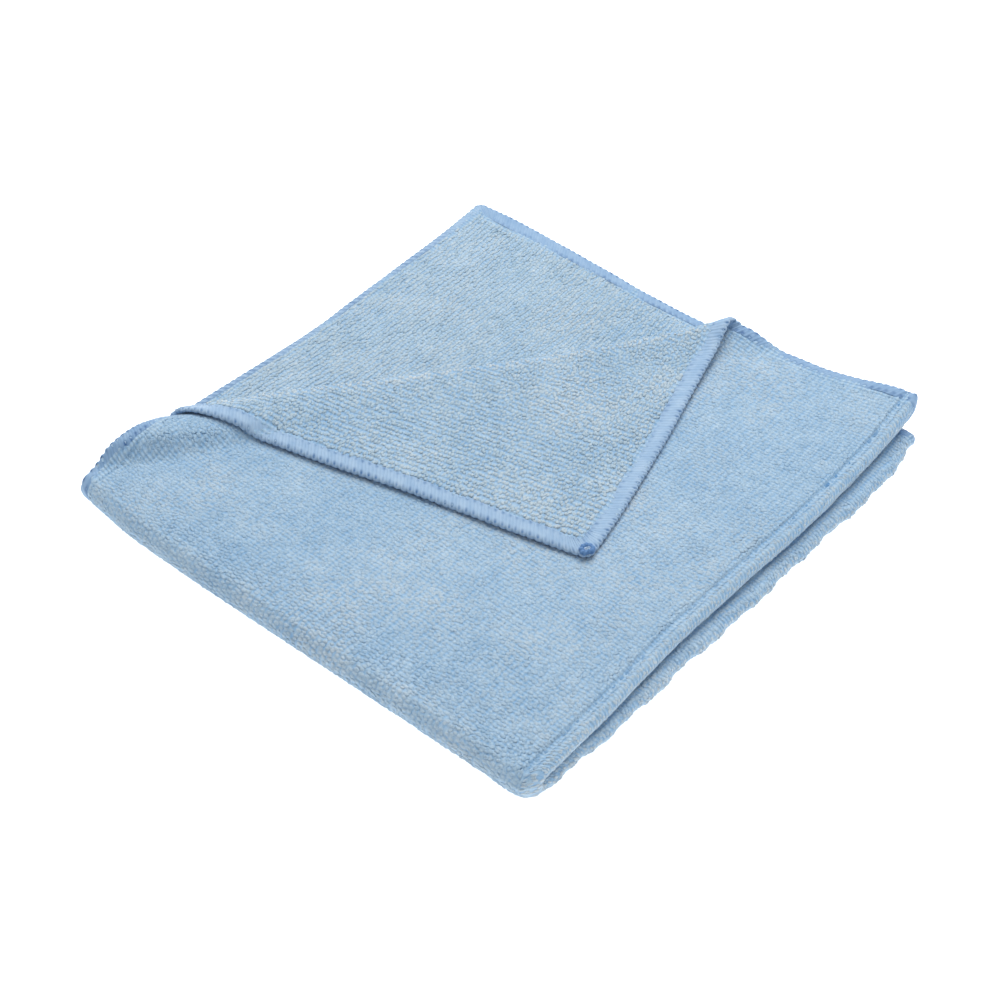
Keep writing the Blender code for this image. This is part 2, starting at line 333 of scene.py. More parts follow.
# How far the back hems and the front fold stand from the square, at places along X
END_ROWS = table(
    "x lower_outer lower_inner upper_inner upper_outer front_fold",
    MM,
    (
        (-100, -1.0, 1.0, 2.0, -5.0, 3.4),
        (-88, -0.5, 0.8, 2.3, -4.2, 1.8),
        (-72, 0.2, 0.2, 2.2, -3.6, 0.2),
        (-40, 0.8, -0.6, 0.4, -3.2, -0.4),
        (0, 1.5, -1.0, -2.0, -3.0, -0.2),
        (50, -0.5, -2.0, -1.0, 0.6, 0.2),
        (82, -1.5, -1.2, 0.0, 4.0, 0.2),
        (98, -1.8, -1.6, 0.8, 6.2, 0.4),
        (103, -2.0, -2.0, 1.0, 7.0, 4.6),
    ),
)

# How wide the hem's band shows on the inner face, at places across the back hem and along the inner layers'
# left one. Where it is narrow, the pile has crept over it.
BACK_BAND_ROWS = table(
    "across band",
    MM,
    ((0, 5.6), (200, 5.6), (240, 4.2), (271, 3.8), (330, 4.8), (375, 6.3), (404, 6.6)),
)
INNER_BAND_ROWS = table("along band", MM, ((0, 4.0), (216, 4.0), (260, 2.6), (400, 2.6), (428, 4.6)))

# Lines along which the pile parts, on the outer face beside the folds and on the inner face near its corner
PARTING_COLUMNS = "from_across from_along to_across to_along depth width"
OUTER_PARTINGS = table(
    PARTING_COLUMNS,
    MM,
    (
        (186.5, 412, 188.5, 352, 0.40, 1.4),
        (181.5, 398, 184.5, 366, 0.32, 1.4),
        (189.0, 350, 187.5, 296, 0.40, 1.4),
        (183.5, 338, 183.0, 300, 0.34, 1.3),
        (190.5, 292, 188.5, 240, 0.42, 1.4),
        (184.5, 284, 181.0, 246, 0.34, 1.4),
        (177.5, 262, 176.0, 232, 0.30, 1.3),
        (172.0, 356, 178.0, 344, 0.30, 1.3),
        (168.0, 372, 171.0, 356, 0.28, 1.3),
        (96.0, 222.5, 150.0, 221.0, 0.30, 1.2),
        (40.0, 221.0, 88.0, 222.0, 0.28, 1.2),
        (120.0, 226.5, 176.0, 227.5, 0.28, 1.2),
    ),
)
INNER_PARTINGS = table(
    PARTING_COLUMNS,
    MM,
    (
        (389.0, 418.0, 371.0, 415.6, 1.50, 0.9),
        (371.0, 415.6, 360.0, 417.0, 0.80, 0.9),
        (344.0, 404.0, 338.0, 398.0, 0.80, 0.8),
    ),
)

# The hem band's cross-section, from its inner line on the inner face, round the rim, to that on the outer
# one. inset is the distance from the rim, side is 0 at the rim itself, and rise is how far the threads stand
# over the sheet, as a share of BAND_RISE. The last two points are inside the sheet.
BandPoint = namedtuple("BandPoint", "inset side rise")
BAND_SECTION = (
    BandPoint(5.6 * MM, -1, -0.5),
    BandPoint(5.3 * MM, -1, 0.6),
    BandPoint(4.8 * MM, -1, 1.0),
    BandPoint(3.7 * MM, -1, 1.0),
    BandPoint(2.7 * MM, -1, 1.0),
    BandPoint(2.1 * MM, -1, 1.0),
    BandPoint(1.55 * MM, -1, 1.0),
    BandPoint(1.0 * MM, -1, 1.1),
    BandPoint(0.55 * MM, -1, 1.3),
    BandPoint(0.15 * MM, -1, 1.1),
    BandPoint(-0.15 * MM, 0, 0.0),
    BandPoint(0.15 * MM, 1, 1.1),
    BandPoint(0.55 * MM, 1, 1.3),
    BandPoint(1.0 * MM, 1, 1.1),
    BandPoint(1.55 * MM, 1, 1.0),
    BandPoint(2.2 * MM, 1, 1.0),
    BandPoint(3.0 * MM, 1, 1.0),
    BandPoint(3.9 * MM, 1, 0.8),
    BandPoint(4.4 * MM, 1, -0.5),
    BandPoint(3.9 * MM, 1, -3.2),
    BandPoint(4.9 * MM, -1, -3.2),
)


# ---------------------------------------------------------------- smooth shapes


def smooth(share):
    """0 to 1 with level ends, and held at its ends outside them."""
    share = np.clip(share, 0.0, 1.0)
    return share * share * (3 - 2 * share)


def blend(start, end, share):
    return start + (end - start) * share


def bell(distance, width):
    return np.exp(-((distance / width) ** 2))


def read_table(rows, column, at):
    """The column's values at places between the rows, on a smooth curve through them."""
    places = np.array([row[0] for row in rows])
    values = np.array([getattr(row, column) for row in rows])
    at = np.clip(at, places[0], places[-1])
    right = np.clip(np.searchsorted(places, at), 1, len(rows) - 1)
    left = right - 1
    width = places[right] - places[left]
    before = np.maximum(left - 1, 0)
    after = np.minimum(right + 1, len(rows) - 1)
    left_slope = (values[right] - values[before]) / (places[right] - places[before])
    right_slope = (values[after] - values[left]) / (places[after] - places[left])
    share = (at - places[left]) / width
    leave = share * (1 - share) ** 2 * width * left_slope
    arrive = share * share * (share - 1) * width * right_slope
    return blend(values[left], values[right], smooth(share)) + leave + arrive


def soft_hills(across, along, cell, seed):
    """Soft random hills between -1 and 1 over the flat cloth, each about one cell wide."""
    columns = int(FLAT_ACROSS / cell) + LATTICE_SPARE
    rows = int(FLAT_ALONG / cell) + LATTICE_SPARE
    lattice = np.random.default_rng(seed).uniform(-1, 1, (columns, rows))
    u = np.clip(across / cell + 1, 0, columns - LATTICE_END)
    v = np.clip(along / cell + 1, 0, rows - LATTICE_END)
    column, row = u.astype(int), v.astype(int)
    share_u, share_v = smooth(u - column), smooth(v - row)
    near = blend(lattice[column, row], lattice[column + 1, row], share_u)
    far = blend(lattice[column, row + 1], lattice[column + 1, row + 1], share_u)
    return blend(near, far, share_v)


# ---------------------------------------------------------------- the folds


def inset_of(across, along):
    """The distance of flat places from the nearest rim."""
    return np.minimum(np.minimum(across, FLAT_ACROSS - across), np.minimum(along, FLAT_ALONG - along))


def half_thickness(across, along):
    """The sheet is thinner in its hem, and rounds off at its rim."""
    inset = inset_of(across, along)
    rim = blend(RIM_THICKNESS, HEM_THICKNESS, np.clip(inset / RIM_WIDTH, 0, 1))
    body = blend(HEM_THICKNESS, THICKNESS, np.clip((inset - HEM_WIDTH) / HEM_STEP, 0, 1))
    return np.where(inset < RIM_WIDTH, rim, body) / 2


def round_corner(across, along):
    """Flat places with the cloth's four corners rounded off."""
    side_a = np.where(across < FLAT_ACROSS / 2, 1.0, -1.0)
    side_b = np.where(along < FLAT_ALONG / 2, 1.0, -1.0)
    corner_a = np.where(side_a > 0, 0.0, FLAT_ACROSS)
    corner_b = np.where(side_b > 0, 0.0, FLAT_ALONG)
    from_a = CORNER_RADIUS - (across - corner_a) * side_a
    from_b = CORNER_RADIUS - (along - corner_b) * side_b
    near = (from_a > 0) & (from_b > 0)
    reach = np.hypot(from_a, from_b)
    pull = np.where(near, np.maximum(from_a, from_b) / np.where(reach > 0, reach, 1), 1.0)
    rounded_a = corner_a + side_a * (CORNER_RADIUS - from_a * pull)
    rounded_b = corner_b + side_b * (CORNER_RADIUS - from_b * pull)
    return np.where(near, rounded_a, across), np.where(near, rounded_b, along)


def first_fold(across, outward):
    """(x, height in the pair, how far round the fold). The outer layer is at the bottom."""
    turned = np.clip((across - STRAIGHT_ACROSS) / FIRST_RADIUS, 0, math.pi)
    before = np.minimum(across - STRAIGHT_ACROSS, 0)
    after = np.maximum(across - INNER_START, 0)
    reach = FIRST_RADIUS + outward
    x = FIRST_FOLD_X + before - after + reach * np.sin(turned)
    height = THICKNESS / 2 + FIRST_RADIUS - reach * np.cos(turned)
    return x, height, (1 - np.cos(turned)) / 2


def second_fold(along, height):
    """(y, z, how far round the fold) of points at a height in the pair."""
    turned = np.clip((along - STRAIGHT_ALONG) / SECOND_RADIUS, 0, math.pi)
    before = np.minimum(along - STRAIGHT_ALONG, 0)
    after = np.maximum(along - UPPER_START, 0)
    reach = SECOND_AXIS_Z - height
    y = SECOND_FOLD_Y - before + after - reach * np.sin(turned)
    return y, SECOND_AXIS_Z - reach * np.cos(turned), (1 - np.cos(turned)) / 2


def drift(x, y, inner, upper):
    """How far the hand left these points from the square, in x and y."""
    near_fold = smooth(1 - (FIRST_FOLD_X - x) / BUMP_DEPTH)
    small_waves = SMALL_BUMP_SHARE * np.sin(2 * math.pi * y / SMALL_BUMP_PITCH)
    waves = np.sin(2 * math.pi * y / BUMP_PITCH) + small_waves
    bump = BUMP_HEIGHT * waves * near_fold
    lower_fold = read_table(SIDE_ROWS, "lower_fold", y) + bump
    right = blend(lower_fold, read_table(SIDE_ROWS, "upper_fold", y), upper)
    outer_hem = read_table(SIDE_ROWS, "outer_hem", y)
    upper_hem = blend(outer_hem, read_table(SIDE_ROWS, "inner_hem", y), inner)
    left = blend(read_table(SIDE_ROWS, "lower_hem", y), upper_hem, upper)
    share = (x - LEFT_HEM_X) / (FIRST_FOLD_X - LEFT_HEM_X)
    shift_x = blend(left, right, share)

    lower = blend(read_table(END_ROWS, "lower_outer", x), read_table(END_ROWS, "lower_inner", x), inner)
    upper_end = blend(read_table(END_ROWS, "upper_outer", x), read_table(END_ROWS, "upper_inner", x), inner)
    share = np.maximum((y - SECOND_FOLD_Y) / (BACK_HEM_Y - SECOND_FOLD_Y), 0.0)
    front = read_table(END_ROWS, "front_fold", x) * smooth(1 - (y - SECOND_FOLD_Y) / FRONT_REACH)
    return shift_x, blend(lower, upper_end, upper) * share + front


def puff(x, y, inner, upper):
    """The lift of the upper fold's open end."""
    distance = np.hypot(x - PUFF_CENTRE[0], y - PUFF_CENTRE[1])
    return PUFF_HEIGHT * smooth(1 - distance / PUFF_REACH) * (1 - inner) * upper


def groove(x, outward, inner, upper):
    """How deep the outer face sinks beside the upper fold."""
    depth = GROOVE_DEPTH * smooth(1 - np.abs(x - GROOVE_X) / GROOVE_HALF_WIDTH)
    return depth * (1 - inner) * upper * np.maximum(outward, 0.0) / (THICKNESS / 2)


def hump(place, distance):
    """The lift of the layer at distances from the crease."""
    share = np.maximum(1 - distance / read_table(CREASE_ROWS, "width", place), 0.0)
    rise = read_table(CREASE_ROWS, "hump", place) * smooth(share)
    bulge = read_table(CREASE_ROWS, "crown", place) * 4 * share * (1 - share)
    return (rise + bulge) * smooth(share / HUMP_EASE)


def crease_place(x, y):
    """(place along the crease, distance past it) of points of the upper layers."""
    from_start = np.stack((x - CREASE_START[0], y - CREASE_START[1]), axis=-1)
    return from_start @ CREASE_ALONG, from_start @ CREASE_ACROSS


def turn_back(x, y, outward, inset):
    """The upper outer layer, with its corner rolled over the crease and laid down on the layer itself."""
    place, past = crease_place(x, y)
    radius = read_table(CREASE_ROWS, "radius", place)
    turned = np.clip(past / radius, 0, math.pi)
    back = np.maximum(past - math.pi * radius, 0)
    before = np.minimum(past, 0)
    side = before - back + (radius - outward) * np.sin(turned)
    spot = CREASE_START + place[..., None] * CREASE_ALONG + side[..., None] * CREASE_ACROSS
    rest = THICKNESS + LAYER_GAP
    droop = HEM_DROOP * smooth(1 - inset / DROOP_REACH) * smooth(back / DROOP_REACH)
    settled = rest + (2 * radius - rest) * smooth(1 - back / FLAP_SETTLE) - droop
    roll = radius - (radius - outward) * np.cos(turned)
    lift = np.where(turned >= math.pi, settled - outward, roll)
    middle_z = 2 * SECOND_AXIS_Z - THICKNESS / 2
    return spot[..., 0], spot[..., 1], middle_z + hump(place, np.where(back > 0, back, -before)) + lift


def in_square(across, along, outward):
    """(x, y, z, lift) of points after the two folds, before the corner turns back. z has no lift in it."""
    x, height, inner = first_fold(across, outward)
    y, z, upper = second_fold(along, height)
    shift_x, shift_y = drift(x, y, inner, upper)
    lift = puff(x, y, inner, upper) - groove(x, outward, inner, upper)
    return x + shift_x, y + shift_y, z, lift


def in_upper_outer(across, along):
    return (across <= STRAIGHT_ACROSS) & (along >= UPPER_START)


def fold(flat):
    """The places in the folded cloth of an array of flat points."""
    across, along = round_corner(flat[..., 0], flat[..., 1])
    outward = flat[..., 2]
    x, y, z, lift = in_square(across, along, outward)
    turned_x, turned_y, turned_z = turn_back(x, y, outward, inset_of(across, along))
    corner = in_upper_outer(across, along)
    placed_x = np.where(corner, turned_x, x)
    placed_y = np.where(corner, turned_y, y)
    placed_z = np.where(corner, turned_z, z) + lift
    return np.stack((placed_x, placed_y, placed_z), axis=-1) - FOOTPRINT_MIDDLE


def stretch(across, along, outward):
    """How much longer than flat a small step across and one along are on the folded face."""
    here = np.stack((across, along, outward), axis=-1)
    step = 0.05 * MM
    longer = []
    for axis in (0, 1):
        ahead, behind = here.copy(), here.copy()
        ahead[:, axis] += step
        behind[:, axis] -= step
        longer.append(np.linalg.norm(fold(ahead) - fold(behind), axis=-1) / (2 * step))
    return longer


# ---------------------------------------------------------------- the sheet's faces


def near_side_fold(across):
    return smooth(1 - (STRAIGHT_ACROSS - across) / SIDE_FOLD_REACH)


def near_front_fold(along):
    return smooth(1 - (along - UPPER_START) / FRONT_FOLD_REACH)


def parted(across, along, partings):
    """How deep the pile sinks along the lines where it parts."""
    depth = np.zeros_like(across)
    wobble = PARTING_WOBBLE * soft_hills(across, along, *WOBBLE_HILLS)
    for line in partings:
        reach_a = line.to_across - line.from_across
        reach_b = line.to_along - line.from_along
        from_a = across - line.from_across
        from_b = along - line.from_along
        share = np.clip((from_a * reach_a + from_b * reach_b) / (reach_a**2 + reach_b**2), 0, 1)
        distance = np.hypot(from_a - share * reach_a + wobble, from_b - share * reach_b + wobble)
        ends = smooth(PARTING_TAPER * share) * smooth(PARTING_TAPER * (1 - share))
        depth = np.maximum(depth, PARTING_DEPTH * line.depth * ends * bell(distance, line.width))
    return depth


def relief(across, along, side):
    """The unevenness of the cloth's face."""
    wide_rolling = WIDE_ROLLING * soft_hills(across, along, *WIDE_HILLS)
    rolling = wide_rolling + SMALL_ROLLING * soft_hills(across, along, *SMALL_HILLS)
    patches = smooth(0.5 + PATCH_CONTRAST * soft_hills(across, along, *PATCH_HILLS))
    swing = RIDGE_SWING * soft_hills(across, along, *SWING_HILLS)
    wave = np.sin(2 * math.pi * across / RIDGE_PITCH + swing)
    ridges = RIDGE_HEIGHT * wave * patches * near_side_fold(across)
    outer = ridges - parted(across, along, OUTER_PARTINGS)
    inner = -parted(across, along, INNER_PARTINGS)
    return rolling + np.where(side > 0, outer, inner)


def inner_band(across, along):
    """How wide the hem's band shows on the inner face, at the nearest rim."""
    rims = np.stack((across, FLAT_ALONG - along, FLAT_ACROSS - across, along))
    nearest = np.argmin(rims, axis=0)
    back = read_table(BACK_BAND_ROWS, "band", across)
    inner = read_table(INNER_BAND_ROWS, "band", along)
    return np.select((nearest == 1, nearest == 2), (back, inner), HEM_WIDTH)


def outer_pile_share(across, along):
    """1 where the outer face is seen and carries tufts, 0 where it lies on the floor or on another layer."""
    up_front = smooth((along - STRAIGHT_ALONG - FLOOR_TURN * SECOND_RADIUS) / PILE_RAMP + 0.5)
    round_side = smooth((across - STRAIGHT_ACROSS - FLOOR_TURN * FIRST_RADIUS) / SIDE_RAMP + 0.5)
    leaving = smooth((OUTER_GROUND_END - across) / PILE_RAMP + 0.5)
    return np.maximum(up_front, round_side) * leaving


def inner_pile_share(along):
    """1 on the inner face of the upper pair."""
    return smooth((along - UPPER_START) / PILE_RAMP)


def sheet_face(across, along, side, pile):
    """The distance of the sheet's face from its middle, with room left for the tufts."""
    share = np.where(side > 0, outer_pile_share(across, along), inner_pile_share(along))
    band = np.where(side > 0, OUTER_BAND, inner_band(across, along))
    clear = smooth((inset_of(across, along) - band) / HEM_STEP)
    return half_thickness(across, along) + clear * share * (relief(across, along, side) - pile.sink * MM)


# ---------------------------------------------------------------- the sheet


def spaced(start, end, longest):
    """Evenly spaced places from start to end, both included."""
    return list(np.linspace(start, end, max(2, math.ceil((end - start) / longest) + 1)))


def hem_cuts(length):
    """Cuts that follow the rim, the hem's band and the steps beside it, at both ends of a side."""
    steps = (OUTER_BAND, OUTER_BAND + HEM_STEP, HEM_WIDTH, HEM_WIDTH + HEM_STEP)
    near = (RIM_CUT, RIM_WIDTH, BAND_CUT, *steps)
    return [*near, *(length - place for place in near)]


def fold_cuts(start, bend):
    return [start + bend * step / FOLD_STEPS for step in range(FOLD_STEPS + 1)]


def across_cuts():
    near = spaced(HEM_WIDTH + HEM_STEP, STRAIGHT_ACROSS, CELL)[1:-1]
    far = [FLAT_ACROSS - place for place in near]
    grooves = [GROOVE_ACROSS + share * GROOVE_HALF_WIDTH for share in GROOVE_CUTS]
    cuts = {*hem_cuts(FLAT_ACROSS), *fold_cuts(STRAIGHT_ACROSS, FIRST_BEND), *near, *far, *grooves}
    return [0.0, *sorted(cuts), FLAT_ACROSS]


def along_cuts():
    inset = HEM_WIDTH + HEM_STEP
    lower = spaced(inset, STRAIGHT_ALONG, LOWER_CELL)[1:-1]
    upper = spaced(UPPER_START, FLAT_ALONG - inset, CELL)[1:-1]
    cuts = {*hem_cuts(FLAT_ALONG), *fold_cuts(STRAIGHT_ALONG, SECOND_BEND), *lower, *upper}
    return [0.0, *sorted(cuts), FLAT_ALONG]


def flat_grid(places_across, places_along):
    """A flat grid of quads in a new bmesh."""
    cloth = bmesh.new()
    rows = [[cloth.verts.new((across, along, 0.0)) for along in places_along] for across in places_across]
    for left, right in zip(rows, rows[1:]):
        for near_left, far_left, near_right, far_right in zip(left, left[1:], right, right[1:]):
            cloth.faces.new((near_left, near_right, far_right, far_left))
    return cloth


def cut_on_line(cloth, faces, place, normal):
    edges = {edge for face in faces for edge in face.edges}
    corners = {corner for face in faces for corner in face.verts}
    bmesh.ops.bisect_plane(
        cloth, geom=[*faces, *edges, *corners], dist=CUT_TOLERANCE, plane_co=place, plane_no=normal
    )


def cut_for_crease(cloth):
    """Cuts the upper outer layer parallel to the crease, where it rolls over."""
    widest = max(row.radius for row in CREASE_ROWS)
    start = Vector((CREASE_START[0] - LEFT_HEM_X, FLAT_ALONG - (BACK_HEM_Y - CREASE_START[1]), 0.0))
    normal = Vector((CREASE_ACROSS[0], CREASE_ACROSS[1], 0.0))
    for step in range(-1, CREASE_STEPS + 2):
        past = math.pi * widest * step / CREASE_STEPS
        near = []
        for face in cloth.faces:
            middle = face.calc_center_median()
            if in_upper_outer(middle.x, middle.y) and abs((middle - start).dot(normal) - past) < 2 * CELL:
                near.append(face)
        cut_on_line(cloth, near, start + past * normal, normal)


def make_two_faced(cloth):
    """Turns the flat cut into a closed slab whose z says which face a point is on."""
    lower = cloth.verts[:]
    made = bmesh.ops.extrude_face_region(cloth, geom=cloth.faces[:], use_keep_orig=True)["geom"]
    for point in lower:
        point.co.z = -1.0
    for point in made:
        if isinstance(point, bmesh.types.BMVert):
            point.co.z = 1.0
    bmesh.ops.recalc_face_normals(cloth, faces=cloth.faces[:])


def points_of(mesh):
    values = np.zeros(len(mesh.vertices) * 3, np.float32)
    mesh.vertices.foreach_get("co", values)
    return values.reshape(-1, 3).astype(float)


def move_points(mesh, places):
    mesh.vertices.foreach_set("co", places.astype(np.float32).ravel())
    mesh.update()


def corner_points(mesh):
    """Which point each face corner stands on."""
    values = np.zeros(len(mesh.loops), np.int32)
    mesh.loops.foreach_get("vertex_index", values)
    return values


def corner_faces(mesh):
    """Which face each corner belongs to."""
    sizes = np.zeros(len(mesh.polygons), np.int32)
    mesh.polygons.foreach_get("loop_total", sizes)
    return np.repeat(np.arange(len(sizes)), sizes)


def add_map(mesh, name, places):
    layer = mesh.uv_layers.new(name=name)
    layer.uv.foreach_set("vector", places.astype(np.float32).ravel())


def add_values(mesh, name, values):
    attribute = mesh.attributes.new(name, "FLOAT", "POINT")
    attribute.data.foreach_set("value", values.astype(np.float32).ravel())


def add_object(name, mesh, material):
    mesh.materials.append(material)
    mesh.shade_smooth()
    thing = bpy.data.objects.new(name, mesh)
    bpy.context.scene.collection.objects.link(thing)
    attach(thing, BODY)
    return thing


def map_sheet(mesh):
    """Maps the sheet's real flat places for the patterns, and its two faces and its rim side by side."""
    at = points_of(mesh)[corner_points(mesh)]
    faces = corner_faces(mesh)
    count = np.bincount(faces)
    add_map(mesh, FLAT_MAP, at[:, :2])

    share_a = at[:, 0] / FLAT_ACROSS
    share_b = at[:, 1] / FLAT_ALONG
    face_map = np.stack((MAP_LEFT + MAP_FACE_WIDTH * share_a, MAP_FOOT + MAP_HEIGHT * share_b), axis=-1)
    face_map[at[:, 2] > 0, 0] += MAP_FACE_STEP
    middle_a = (np.bincount(faces, at[:, 0]) / count)[faces]
    middle_b = (np.bincount(faces, at[:, 1]) / count)[faces]
    at_side = np.minimum(middle_a, FLAT_ACROSS - middle_a) < CUT_TOLERANCE
    side_strip = np.where(middle_a < FLAT_ACROSS / 2, 0, 1)
    end_strip = np.where(middle_b < FLAT_ALONG / 2, 2, 3)
    strip = np.where(at_side, side_strip, end_strip)
    run = np.where(at_side, share_b, share_a)
    over = RIM_MAP_LEFT + RIM_MAP_STEP * strip + RIM_MAP_HALF_WIDTH * (1 + at[:, 2])
    rim_map = np.stack((over, MAP_FOOT + MAP_HEIGHT * run), axis=-1)
    on_rim = (np.abs(np.bincount(faces, at[:, 2]) / count) < RIM_LIMIT)[faces]
    add_map(mesh, BAKE_MAP, np.where(on_rim[:, None], rim_map, face_map))


def make_sheet(pile, material):
    cloth = flat_grid(across_cuts(), along_cuts())
    cut_for_crease(cloth)
    make_two_faced(cloth)
    mesh = bpy.data.meshes.new("cloth_sheet")
    cloth.to_mesh(mesh)
    cloth.free()
    map_sheet(mesh)
    flat = points_of(mesh)
    side = np.sign(flat[:, 2])
    flat[:, 2] = side * sheet_face(flat[:, 0], flat[:, 1], side, pile)
    move_points(mesh, fold(flat))
    return add_object("cloth_sheet", mesh, material)


# ---------------------------------------------------------------- the pile


def rows_with_bend(start, end, pitch, bend_start, bend, longer):
    """Row places from start to end that keep their pitch on the stretched outside of a fold."""
    fine = np.linspace(start, end, FINE_PLACES)
    inside = (fine > bend_start) & (fine < bend_start + bend)
    worn = np.concatenate(([0.0], np.cumsum(np.diff(fine) * np.where(inside[1:], longer, 1.0))))
    return np.interp(np.arange(pitch / 2, worn[-1], pitch), worn, fine)


def scatter(rows, places, looseness, random):
    """Flat places on a grid of rows, every second row half a step on, each moved a little."""
    across, along = np.meshgrid(rows, places, indexing="ij")
    row_gap = np.gradient(rows)[:, None]
    step = np.gradient(places)[None, :]
    along = along + (np.arange(len(rows))[:, None] % 2 - 0.5) * 0.5 * step
    loose = looseness(across, along)
    across = across + random.uniform(-0.5, 0.5, across.shape) * row_gap * loose
    along = along + random.uniform(-0.5, 0.5, along.shape) * step * loose
    return across.ravel(), along.ravel()


def under_corner(across, along):
    """Whether outer-face places are well covered by the turned-back corner or its roll."""
    x, y, _, _ = in_square(across, along, np.zeros_like(across))
    place, past = crease_place(x, y)
    over = math.pi * read_table(CREASE_ROWS, "radius", place) - 2 * past
    over_x = x + over * CREASE_ACROSS[0]
    over_y = y + over * CREASE_ACROSS[1]
    left_hem = LEFT_HEM_X + read_table(SIDE_ROWS, "outer_hem", over_y) + UNDER_FLAP
    back_hem = BACK_HEM_Y + read_table(END_ROWS, "upper_outer", over_x) - UNDER_FLAP
    covered = (over_x > left_hem) & (over_y < back_hem)
    return in_upper_outer(across, along) & (covered | (past > -UNDER_CREASE))


def tuft_ring():
    """The corners of a tuft seen from above, on a circle of radius 1."""
    turns = 2 * math.pi * np.arange(TUFT_SIDES) / TUFT_SIDES
    return np.stack((np.cos(turns), np.sin(turns)), axis=-1)


def tuft_shape():
    """A tuft's points in shares of its size: base ring, shoulder ring and tip."""
    ring = tuft_ring()
    width, height = TUFT_SHOULDER
    base = np.column_stack((ring, np.zeros(TUFT_SIDES)))
    shoulder = np.column_stack((width * ring, np.full(TUFT_SIDES, height)))
    return np.vstack((base, shoulder, (0.0, 0.0, 1.0)))


def tuft_faces(side):
    """A tuft's faces, as point numbers, its base last. They face out on the side that it stands on."""
    count = TUFT_SIDES
    sides = [(i, (i + 1) % count, count + (i + 1) % count, count + i) for i in range(count)]
    caps = [(count + i, count + (i + 1) % count, 2 * count) for i in range(count)]
    faces = [*sides, *caps, tuple(reversed(range(count)))]
    return faces if side > 0 else [tuple(reversed(face)) for face in faces]


def tuft_map(corners):
    """Each corner's place in a tuft's own cell of the map: the tuft from above, and its base beside it."""
    ring = tuft_ring()
    above = np.vstack((TUFT_MAP_RING * ring, TUFT_MAP_SHOULDER * ring, (0.0, 0.0))) + TUFT_MAP_MIDDLE
    base = BASE_MAP_RING * ring + BASE_MAP_MIDDLE
    return np.vstack((above[corners[:-TUFT_SIDES]], base[corners[-TUFT_SIDES:]]))


def join_tufts(name, flat, values, side, material):
    """One mesh of all the tufts. flat holds each tuft's points at their flat places."""
    tufts, points, _ = flat.shape
    faces = tuft_faces(side)
    template = np.concatenate([np.array(face) for face in faces])
    corners = (template[None, :] + points * np.arange(tufts)[:, None]).ravel()
    totals = np.tile([len(face) for face in faces], tufts)
    starts = np.concatenate(([0], np.cumsum(totals)[:-1]))
    mesh = bpy.data.meshes.new(name)
    mesh.vertices.add(tufts * points)
    mesh.vertices.foreach_set("co", fold(flat.reshape(-1, 3)).astype(np.float32).ravel())
    mesh.loops.add(len(corners))
    mesh.loops.foreach_set("vertex_index", corners.astype(np.int32))
    mesh.polygons.add(len(totals))
    mesh.polygons.foreach_set("loop_start", starts.astype(np.int32))
    mesh.polygons.foreach_set("loop_total", totals.astype(np.int32))
    mesh.update(calc_edges=True)

    columns = math.ceil(math.sqrt(tufts))
    cell = np.stack((np.arange(tufts) % columns, np.arange(tufts) // columns), axis=-1)
    in_cell = tuft_map(template)
    add_map(mesh, BAKE_MAP, ((cell[:, None, :] + in_cell[None, :, :]) / columns).reshape(-1, 2))
    for label, amounts in values.items():
        add_values(mesh, label, amounts)
    add_object(name, mesh, material)
    keep_bases_flat(mesh, len(faces))


def keep_bases_flat(mesh, faces_a_tuft):
    """Leaves each tuft's base out of its smooth shading, so its foot isn't shaded as if it faced down."""
    is_base = np.arange(len(mesh.polygons)) % faces_a_tuft == faces_a_tuft - 1
    mesh.polygons.foreach_set("use_smooth", ~is_base)
    mesh.update()


def fold_wear_and_sheen(across):
    """1 on the right folds, past the groove, where the pile is rubbed flat and painted pale with a painted
    sheen.
    """
    up = smooth((across - GROOVE_ACROSS - FOLD_STRIP_INSET) / FOLD_STRIP_RAMP)
    down = smooth((FOLD_STRIP_END - across) / FOLD_STRIP_RAMP)
    return up * down


# A tuft's half widths across and along at its foot and its height from its root, in millimetres, how far it
# may be turned, in radians, and how far its tone differs from its neighbours'
TuftShape = namedtuple("TuftShape", "across along height twist mottle")


